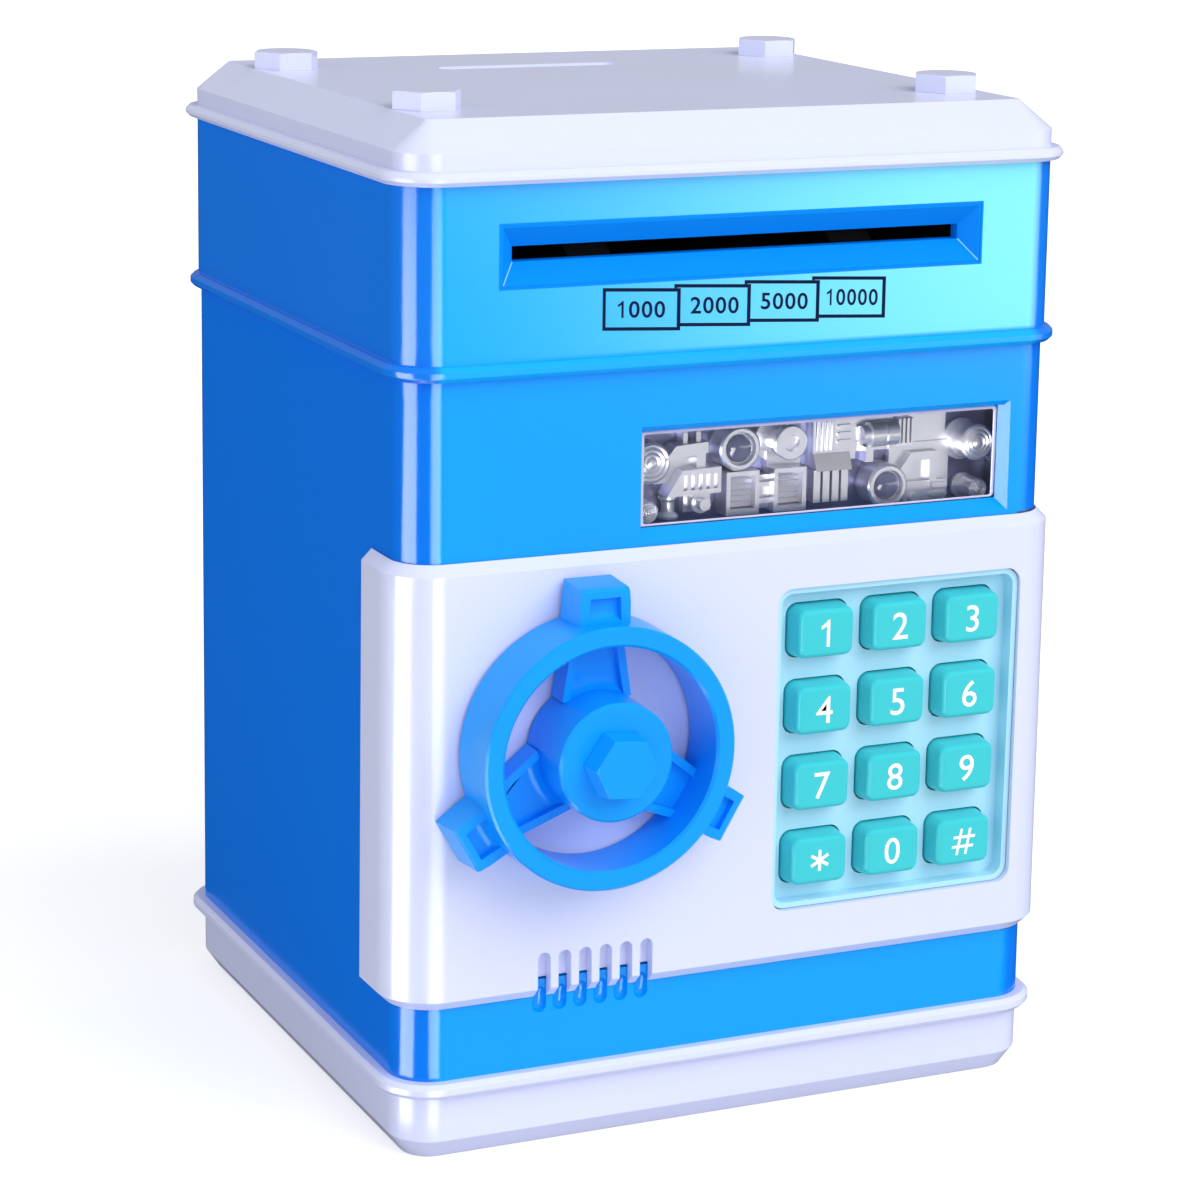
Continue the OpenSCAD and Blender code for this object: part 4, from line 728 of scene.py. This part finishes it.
def dome(profile: np.ndarray, steps: int = 64) -> Shape:
    """A surface of revolution about the front-to-back line through the origin, closed at its tip.

    Args:
        profile: points as [radius, distance to the front], the last one on the axis.
        steps: how many parts one turn has.

    Returns:
        Points and faces. Point (i, j) lies at radius_i * (cos a_j, sin a_j) across and up, where
        a_j = 2 pi j / steps.
    """
    a = np.arange(steps) * 2 * math.pi / steps
    radius, ahead = profile[:-1, :1], profile[:-1, 1:]
    rings = np.stack([radius * np.cos(a), np.repeat(-ahead, steps, axis=1), radius * np.sin(a)], axis=2)
    tip = [[0.0, -profile[-1, 1], 0.0]]
    points = np.concatenate([rings.reshape(-1, 3), tip])
    j = np.arange(steps)
    last = (len(radius) - 1) * steps
    fan = np.stack([last + j, last + (j + 1) % steps, np.full(steps, len(points) - 1)], axis=1)
    return points, ring_faces(len(radius), steps).tolist() + fan.tolist()


@dataclass(frozen=True)
class Digits:
    """How the digits of a plain number are set.

    Weight is how far the font's outline moves outwards, as a share of the font's size, and spread is how
    much wider than the font's the digits are.
    """

    height: float
    pitch: float
    weight: float
    spread: float = 1.0
    one: tuple[tuple[float, float], ...] = (
        (0.13, -0.5), (0.13, 0.5), (0.05, 0.5), (-0.03, 0.41), (-0.13, 0.33), (-0.22, 0.28), (-0.22, 0.15),
        (-0.10, 0.20), (0.0, 0.27), (0.0, -0.5))
    curve_steps: int = 6

    def glyph(self, character: str) -> Shape:
        """Outline of one digit, one unit high and centred; a one is drawn point by point, with a flag.

        Args:
            character: the digit.

        Returns:
            Points as [across, up] and the faces.
        """
        if character == "1":
            return np.array(self.one), [tuple(range(len(self.one)))]
        curve = bpy.data.curves.new("digit", "FONT")
        curve.body = character
        curve.fill_mode = "FRONT"
        curve.resolution_u = self.curve_steps
        curve.offset = self.weight
        holder = bpy.data.objects.new("digit", curve)
        bpy.context.scene.collection.objects.link(holder)
        bpy.context.view_layer.update()
        drawn = holder.evaluated_get(bpy.context.evaluated_depsgraph_get())
        mesh = bpy.data.meshes.new_from_object(drawn)
        points = np.zeros(len(mesh.vertices) * 3)
        mesh.vertices.foreach_get("co", points)
        points = points.reshape(-1, 3)[:, :2]
        faces = [tuple(face.vertices) for face in mesh.polygons]
        bpy.data.objects.remove(holder)
        bpy.data.curves.remove(curve)
        bpy.data.meshes.remove(mesh)
        low, high = points.min(0), points.max(0)
        return (points - (low + high) / 2) / (high[1] - low[1]), faces

    def number(self, text: str) -> Shape:
        """Outline of a number, centred on the origin of its own plane.

        Args:
            text: the digits.

        Returns:
            Points as [across, up] and the faces: digit n is moved by (n - (count - 1) / 2) * pitch.
        """
        size = (self.height * self.spread, self.height)
        outlines = []
        for place, character in enumerate(text):
            points, faces = self.glyph(character)
            outlines.append((points * size + ((place - (len(text) - 1) / 2) * self.pitch, 0.0), faces))
        return joined(outlines)


@dataclass
class Cabinet:
    """The blue lower cabinet on its white base, with what stands in it."""

    def build(self) -> None:
        """Dresses every piece of the cabinet and the base."""
        dress(WHITE, "base", edge=Edge.MEDIUM)
        dress(WHITE, "battery_cover", edge=Edge.SMALL)
        dress(LOWER_BLUE, "lower_body", "money_floor", edge=Edge.SMALL)
        dress(STEEL, "base_screws", "battery_screw", "battery_contacts", "floor_screws", "hinge_pins",
              "window_screws")
        dress(CELL, "battery_cells")
        dress(BLACK, "speaker")


@dataclass
class Window:
    """The clear window and the silver machinery behind it.

    The bead stands for the lens's bright edge, an opaque pale strip whose colour is a painted highlight.
    Its widths are given on the left, below, on the right and above, and its rows as [share of the width,
    share of the lift]. A porthole is [across, up, radius of the ring round it, height of that ring over the
    relief's floor]; dome_edge and dome_reach are shares of that radius.
    """

    left: float = -19.55 * MM
    right: float = 53.3 * MM
    low: float = 113.6 * MM
    high: float = 130.8 * MM
    corner: float = 0.9 * MM
    corner_shrink: float = 0.4
    bead: tuple[float, float, float, float] = (1.15 * MM, 0.4 * MM, 0.7 * MM, 0.6 * MM)
    bead_rows: tuple[tuple[float, float], ...] = ((0.0, 0.0), (0.22, 1.0), (0.7, 0.8), (1.0, 0.0))
    bead_start: float = 0.01 * MM
    bead_lift: float = 0.12 * MM
    floor_y: float = -47.95 * MM
    portholes: tuple[tuple[float, float, float, float], ...] = (
        (2.6 * MM, 125.4 * MM, 4.1 * MM, 5.6 * MM), (33.0 * MM, 116.3 * MM, 4.1 * MM, 5.8 * MM))
    dome_edge: float = 0.64
    dome_reach: float = 0.645
    dome_bow: float = 1.12 * MM
    dome_sink: float = 0.9 * MM
    dome_rows: int = 13

    def loop(self, inset: float, steps: int = 8) -> np.ndarray:
        """A round-cornered outline inside the lens's edge.

        Args:
            inset: 0 at the outer edge of the bead and 1 at its inner edge.
            steps: how many parts each corner has.

        Returns:
            Points as [across, up], corner by corner: centre + radius * (cos a, sin a).
        """
        left, low, right, high = (width * inset for width in self.bead)
        r = self.corner * (1 - self.corner_shrink * inset)
        x0, x1 = self.left + left + r, self.right - right - r
        z0, z1 = self.low + low + r, self.high - high - r
        a = np.linspace(0, math.pi / 2, steps + 1)
        quarters = [np.stack([x + r * np.cos(a + start), z + r * np.sin(a + start)], axis=1)
                    for x, z, start in ((x1, z1, 0.0), (x0, z1, math.pi / 2),
                                        (x0, z0, math.pi), (x1, z0, 1.5 * math.pi))]
        return np.concatenate(quarters)

    def edge_highlight_bead(self) -> None:
        """The lens's bright edge, a painted highlight: four outlines inside one another, the middle two
        lifted to the front.
        """
        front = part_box("window_lens")[0].y - self.bead_start
        rows = [upright(self.loop(inset), front - lift * self.bead_lift) for inset, lift in self.bead_rows]
        faces = ring_faces(len(rows), len(rows[0]))[:, [0, 3, 2, 1]]
        mesh_piece("lens_edge_highlight", (np.concatenate(rows), faces.tolist()), LENS_EDGE_HIGHLIGHT, "cabinet")

    def porthole(self, number: int, x: float, z: float, radius: float, height: float) -> None:
        """A dark dome of glass inside a ring: it rises by dome_bow * sqrt(1 - (share / dome_reach)^2).

        Args:
            number: its number from the left.
            x: its middle across.
            z: its middle up.
            radius: the radius of the ring round it.
            height: the height of the ring over the relief's floor.
        """
        share = np.linspace(self.dome_edge, 0.0, self.dome_rows)
        rise = self.dome_bow * np.sqrt(1 - (share / self.dome_reach) ** 2)
        points, faces = dome(np.stack([share * radius, height - self.dome_sink + rise], axis=1))
        mesh_piece(f"porthole_{number}", (points + (x, self.floor_y, z), faces), PORTHOLE, "cabinet")

    def build(self) -> None:
        """Dresses the lens, the relief, whose hollows carry painted shade, and its board, and adds the
        bead, a painted highlight, and the domes.
        """
        dress(LENS, "window_lens")
        dress(SILVER_PAINTED_SHADE, "machinery_insert", edge=Edge.FINE)
        dress(BOARD, "main_pcb")
        self.edge_highlight_bead()
        for number, sizes in enumerate(self.portholes, start=1):
            self.porthole(number, *sizes)


CARD_DIGITS = Digits(2.95 * MM, 2.45 * MM, 0.014, 1.08)
LONG_CARD_DIGITS = Digits(2.95 * MM, 2.2 * MM, 0.014, 0.95)


@dataclass
class UpperCabinet:
    """The upper cabinet with the note slot and the four printed cards.

    A card is [left edge, number, how its digits are set]; it leans down to the right by card_lean. The
    slot's mouth has its middle at mouth_up, and mouth_half is half its width and half its height.
    """

    wall_lean: float = 0.0066
    cards: tuple[tuple[float, str, Digits], ...] = (
        (-27.95 * MM, "1000", CARD_DIGITS), (-14.25 * MM, "2000", CARD_DIGITS),
        (-0.57 * MM, "5000", CARD_DIGITS), (12.8 * MM, "10000", LONG_CARD_DIGITS))
    card_width: float = 14.95 * MM
    card_low: float = 149.7 * MM
    card_high: float = 157.15 * MM
    card_lean: float = -0.052
    card_gap: float = 0.02 * MM
    line: float = 0.6 * MM
    right_line: float = 0.69 * MM
    digit_shift: float = -0.2 * MM
    mouth_up: float = 163.4 * MM
    mouth_half: tuple[float, float] = (46.95 * MM, 5.3 * MM)
    lip_width: float = 0.42 * MM
    slope_foot: tuple[float, float, float] = (46.6 * MM, -59.48 * MM, 158.45 * MM)
    slope_head: tuple[float, float, float] = (43.8 * MM, -56.58 * MM, 162.05 * MM)
    mitre_half: tuple[float, float, float] = (0.09 * MM, 0.0, 0.07 * MM)
    mitre_lift: tuple[float, float, float] = (0.0, -0.14 * MM, 0.0)

    def wall(self, up: np.ndarray) -> np.ndarray:
        """The front wall's y over the belt: y at its head - wall_lean * distance below the head.

        Args:
            up: heights.

        Returns:
            The y of the wall at each height.
        """
        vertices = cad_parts["upper_body"].data.vertices
        points = np.zeros(len(vertices) * 3, np.float32)
        vertices.foreach_get("co", points)
        points = points.reshape(-1, 3)
        head = points[:, 2].max()
        at_head = np.abs(points[:, 2] - head) < LEVEL_WITHIN
        return points[at_head, 1].min() - self.wall_lean * (head - up)

    def card(self, number: int, seen: float, left: float, text: str, digits: Digits) -> None:
        """One card, which slips behind the card on its left.

        Args:
            number: the card's number from the left.
            seen: where the card on its left ends, or its own left edge.
            left: its left edge.
            text: the number printed on it.
            digits: how that is set.
        """
        low, high, line = self.card_low, self.card_high, self.line
        right = left + self.card_width
        lines = [(left, high - line, right, high), (seen, low, right, low + line),
                 (right - self.right_line, low + line, right, high - line)]
        if seen > left:
            hidden_from = high + self.card_lean * (left - seen + self.card_width) + self.card_gap
            lines.append((left, hidden_from, left + line, high - line))
        else:
            lines.append((left, low + line, left + line, high - line))
        points, faces = digits.number(text)
        middle = ((seen + right) / 2 + self.digit_shift, (low + high) / 2)
        flat, faces = joined([bars(lines), (points + middle, faces)])
        flat[:, 1] += self.card_lean * (flat[:, 0] - left)
        standing = upright(flat, self.wall(flat[:, 1]) - PRINT_LIFT)
        mesh_piece(f"number_card_{number}", (standing, faces), NAVY_INK, "cabinet")

    def lip(self) -> None:
        """The funnel's thin lip on the wall: four bars round its mouth."""
        near, half = self.mouth_half
        far, rim = near + self.lip_width, half + self.lip_width
        low, high = self.mouth_up - half, self.mouth_up + half
        flat, faces = bars([(-far, self.mouth_up - rim, far, low), (-far, high, far, self.mouth_up + rim),
                            (-far, low, -near, high), (near, low, far, high)])
        standing = upright(flat, self.wall(flat[:, 1]) - PRINT_LIFT)
        mesh_piece("slot_lip", (standing, faces), AZURE, "cabinet")

    def mitre(self, name: str, side: int) -> None:
        """A painted highlight on the edge where two slopes of the slot's funnel meet, at the foot of one
        end.

        Args:
            name: the piece's name.
            side: -1 for the left end, 1 for the right end.
        """
        foot, head, half = (np.array(v) for v in (self.slope_foot, self.slope_head, self.mitre_half))
        points = np.stack([foot - half, head - half, head + half, foot + half]) + self.mitre_lift
        mesh_piece(name, (points * (side, 1, 1), [(0, 1, 2, 3)]), AZURE_HIGHLIGHT, "cabinet")

    def build(self) -> None:
        """Dresses the upper cabinet, prints the cards from left to right, edges the slot and paints
        highlights on its mitres.
        """
        dress(UPPER_BLUE, "upper_body", edge=Edge.FINE)
        dress(AZURE, "slot_bezel")
        dress(BLACK, "feeder_frame")
        dress(STEEL, "feeder_screws", "feed_motor", "drive_shaft", "idler_shaft")
        dress(RUBBER, "drive_rollers")
        dress(NATURAL, "drive_gear", "idler_rollers", "coin_chute")
        dress(BRASS, "motor_pinion")
        seen = self.cards[0][0]
        for number, (left, text, digits) in enumerate(self.cards, start=1):
            self.card(number, seen, left, text, digits)
            seen = left + self.card_width
        self.lip()
        self.mitre("mitre_highlight_left", -1)
        self.mitre("mitre_highlight_right", 1)


@dataclass
class Lid:
    """The white lid with its four hexagon bolts."""

    def build(self) -> None:
        """Dresses the lid and the bolts."""
        dress(WHITE, "lid", "lid_bolts", edge=Edge.MEDIUM)


@dataclass
class Door:
    """The white door with its lock works."""

    def build(self) -> None:
        """Dresses the door's shell, cover and works."""
        dress(WHITE, "door_shell", "door_cover", edge=Edge.SMALL)
        dress(BOARD, "keypad_pcb")
        # Black membrane: its black also darkens the gaps round the keys, painted shade there.
        dress(RUBBER, "key_membrane")
        dress(STEEL, "door_screws", "lock_plunger")
        dress(BLACK, "lock_solenoid")


@dataclass
class Keypad:
    """The recessed pad with its twelve keys and their printed characters.

    The sizes of the star and of the hash sign are shares of the digits' height, and hash_half is a share of
    the stroke's width.
    """

    digits: Digits = Digits(5.1 * MM, 0.0, 0.005)
    stroke: float = 0.62 * MM
    star_rays: int = 6
    star_reach: float = 0.4
    hash_reach: float = 0.5
    hash_gap: float = 0.18
    hash_width: float = 0.45
    hash_half: float = 0.45
    hash_slant: float = 0.18
    keys: tuple[str, ...] = (*"123456789", "star", "0", "hash")

    def star_sign(self) -> Shape:
        """A star of six rays: for each ray in turn, the notch before it and the two corners of its end.

        Returns:
            Points as [across, up] and one face. A notch lies half a stroke over sin 30 from the middle, on
            the line between two rays.
        """
        reach, half = self.digits.height * self.star_reach, self.stroke / 2
        apart = 360 / self.star_rays
        a = np.radians(np.arange(self.star_rays) * apart + 90)
        ray = np.stack([np.cos(a), np.sin(a)], axis=1)
        side = np.stack([-ray[:, 1], ray[:, 0]], axis=1)
        between = (ray + np.roll(ray, 1, axis=0)) / (2 * math.cos(math.radians(apart / 2)))
        notch = between * half / math.sin(math.radians(apart / 2))
        corners = np.stack([notch, ray * reach - side * half, ray * reach + side * half], axis=1)
        return corners.reshape(-1, 2), [tuple(range(3 * self.star_rays))]

    def hash_sign(self) -> Shape:
        """Two level bars, and two upright ones in three lengths each between them, then slanted.

        Returns:
            Points as [across, up] and the faces.
        """
        reach, gap, width = (self.digits.height * share
                             for share in (self.hash_reach, self.hash_gap, self.hash_width))
        half = self.stroke * self.hash_half
        boxes = [(-width, up - half, width, up + half) for up in (-gap, gap)]
        boxes += [(x - half, low, x + half, high) for x in (-gap, gap)
                  for low, high in ((-reach, -gap - half), (half - gap, gap - half), (gap + half, reach))]
        flat, faces = bars(boxes)
        flat[:, 0] += flat[:, 1] * self.hash_slant
        return flat, faces

    def mark(self, key: str) -> None:
        """Prints one key's character in the middle of its face.

        Args:
            key: the key's name, such as "5" or "star".
        """
        signs = {"star": self.star_sign, "hash": self.hash_sign}
        flat, faces = signs[key]() if key in signs else self.digits.number(key)
        low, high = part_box("key_" + key)
        middle = (low + high) / 2
        standing = upright(flat + (middle.x, middle.z), low.y - PRINT_LIFT)
        mesh_piece("mark_" + key, (standing, faces), WHITE_INK, f"key_{key}_cap")

    def build(self) -> None:
        """Dresses the pad and every key, and prints the keys."""
        dress(RECESS, "keypad_panel", edge=Edge.FINE)
        for key in self.keys:
            dress(KEY_TEAL, "key_" + key, edge=Edge.SMALL)
            self.mark(key)


@dataclass
class Handwheel:
    """The blue handwheel, its hexagon and what turns with it."""

    def build(self) -> None:
        """Dresses the wheel, spindle, cam and latch."""
        dress(WHEEL_BLUE, "handwheel", "wheel_cap", edge=Edge.MEDIUM)
        dress(STEEL, "wheel_spindle", "latch_screw")
        dress(BRASS, "lock_cam")
        dress(STEEL, "latch_bar", edge=Edge.SMALL)


@dataclass(frozen=True)
class Card:
    """A card flat on the floor that shows only in gloss: a sector about a point near the cabinet's corner.

    It runs from start to end, in degrees as a lamp's azimuth, and from near to far, in metres from the
    point. Its level drifts to right_level over the stretch of X that across names.
    """

    name: str
    start: float
    end: float
    near: float
    far: float
    level: float
    right_level: float | None = None
    across: tuple[float, float] = (0.30, 0.70)
    middle: tuple[float, float, float] = (-60.0 * MM, -55.0 * MM, 0.04 * MM)
    steps: int = 24

    def material(self) -> bpy.types.Material:
        """A glow that runs from level to right_level across the floor.

        Returns:
            The material.
        """
        shader = Shader.new(self.name)
        share = shader.axis(shader.place(), "X").over(*self.across)
        rise = (self.right_level or self.level) - self.level
        return shader.finish_glow(shader.glow(share * rise + self.level))

    def build(self) -> None:
        """Two arcs about the middle, at the near and the far distance, joined by a strip of faces."""
        a = np.radians(np.linspace(self.start, self.end, self.steps + 1))
        arm = np.stack([np.cos(a), np.sin(a), np.zeros_like(a)], axis=1)
        points = np.concatenate([arm * self.near, arm * self.far]) + self.middle
        i = np.arange(self.steps)
        faces = np.stack([i, i + self.steps + 1, i + self.steps + 2, i + 1], axis=1)
        card = mesh_object(self.name, (points, faces.tolist()), self.material())
        for ray in ("camera", "diffuse", "transmission", "volume_scatter", "shadow"):
            setattr(card, "visible_" + ray, False)


@dataclass(frozen=True)
class Lamp:
    """One broad soft lamp, far away; gloss shows the cards and the floor in its place.

    Azimuth is in degrees from the right-hand side by way of the back, elevation in degrees over the floor.
    The lamp looks spread degrees wide, which softens its shadows.
    """

    name: str
    azimuth: float
    elevation: float
    spread: float
    strength: float

    def build(self) -> None:
        """Makes the lamp and turns it to the object."""
        data = bpy.data.lights.new(self.name, "SUN")
        data.energy = self.strength
        data.angle = math.radians(self.spread)
        lamp = bpy.data.objects.new(self.name, data)
        a, e = math.radians(self.azimuth), math.radians(self.elevation)
        toward = Vector((math.cos(a) * math.cos(e), math.sin(a) * math.cos(e), math.sin(e)))
        lamp.rotation_euler = toward.to_track_quat("Z", "Y").to_euler()
        lamp.visible_glossy = False
        bpy.context.scene.collection.objects.link(lamp)


@dataclass
class Studio:
    """Camera, lamps, floor, cards and background. Angles are in degrees, levels as strengths of white."""

    eye: tuple[float, float, float] = (-277.1 * MM, -607.9 * MM, 253.2 * MM)
    yaw: float = 24.47
    pitch: float = -14.13
    roll: float = 0.87
    focal_px: float = 3516.6
    sensor: float = 36.0
    clip: tuple[float, float] = (0.01, 50.0)
    floor_half: float = 4.0
    floor_z: float = -0.02 * MM
    floor_colour: Colour = (0.72, 0.72, 0.73)
    floor_glow: float = 0.5
    floor_gloss: float = 0.02
    sky: float = 0.56
    sky_rays: tuple[tuple[str, float], ...] = (("Glossy", 0.25), ("Transmission", 1.0), ("Camera", 1.0))
    cards: tuple[Card, ...] = (
        Card("left_card", 170.0, 210.0, 0.02, 1.6, 12.0),
        Card("dark_card", 211.0, 250.0, 0.02, 1.6, 0.02),
        Card("narrow_card", 251.0, 278.0, 0.02, 1.6, 9.0),
        Card("front_card", 288.0, 345.0, 0.02, 0.86, 0.4),
        Card("far_card", 288.0, 345.0, 0.90, 3.4, 0.35, right_level=2.8))
    lamps: tuple[Lamp, ...] = (
        Lamp("front_right_lamp", 300.0, 42.0, 50.0, 1.87),
        Lamp("front_fill", 262.0, 12.0, 40.0, 0.4),
        Lamp("left_fill", 190.0, 10.0, 60.0, 0.74))

    def camera(self) -> None:
        """The camera of the photograph: its axes follow from the yaw, pitch and roll."""
        yaw, pitch, roll = (math.radians(angle) for angle in (self.yaw, self.pitch, self.roll))
        ahead = Vector((math.sin(yaw) * math.cos(pitch), math.cos(yaw) * math.cos(pitch), math.sin(pitch)))
        level = Vector((math.cos(yaw), -math.sin(yaw), 0.0))
        rise = level.cross(ahead)
        right = level * math.cos(roll) + rise * math.sin(roll)
        up = rise * math.cos(roll) - level * math.sin(roll)
        data = bpy.data.cameras.new("camera")
        data.sensor_width = self.sensor
        data.lens = self.focal_px / IMAGE_PX * self.sensor
        data.clip_start, data.clip_end = self.clip
        camera = bpy.data.objects.new("camera", data)
        columns = Matrix((right, up, -ahead)).transposed().to_4x4()
        camera.matrix_world = Matrix.Translation(self.eye) @ columns
        bpy.context.scene.collection.objects.link(camera)
        bpy.context.scene.camera = camera

    def floor(self) -> None:
        """A plain pale floor: white to the camera apart from the shadow on it, dim where gloss sees it."""
        shader = Shader.new("studio floor")
        body = shader.add("ShaderNodeBsdfDiffuse", None, {"Color": rgba(self.floor_colour)})
        glow = shader.glow(shader.ray("Camera") * self.floor_glow)
        pale = shader.add("ShaderNodeAddShader", None, {0: body, 1: glow})
        seen = shader.either(shader.ray("Glossy"), pale, shader.glow(self.floor_gloss))
        far = self.floor_half
        points = upright(bars([(-far, -far, far, far)])[0], self.floor_z)[:, [0, 2, 1]]
        mesh_object("floor", (points, [(0, 1, 2, 3)]), shader.finish_glow(seen))

    def world(self) -> None:
        """Soft light from all round, white where the camera or glass sees it and dimmer in gloss."""
        world = bpy.data.worlds.new("studio")
        bpy.context.scene.world = world
        shader = Shader(world)
        white = (1.0, 1.0, 1.0, 1.0)
        sky = shader.add("ShaderNodeBackground", None, {"Color": white, "Strength": self.sky})
        for kind, level in self.sky_rays:
            other = shader.add("ShaderNodeBackground", None, {"Color": white, "Strength": level})
            sky = shader.either(shader.ray(kind), sky, other)
        shader.finish(sky)

    def build(self) -> None:
        """Sets the camera, the background, the floor, the cards and the lamps."""
        self.camera()
        self.world()
        self.floor()
        for item in (*self.cards, *self.lamps):
            item.build()
        bpy.context.scene.view_settings.view_transform = "Standard"


def main() -> None:
    """Builds the object piece by piece, then the studio."""
    logging.basicConfig(level=logging.INFO, format="%(message)s")
    for part in (Cabinet(), Window(), UpperCabinet(), Lid(), Door(), Keypad(), Handwheel()):
        log.info("building %s", type(part).__name__)
        part.build()
    Studio().build()
    bpy.context.view_layer.update()


if __name__ == "__main__":
    main()
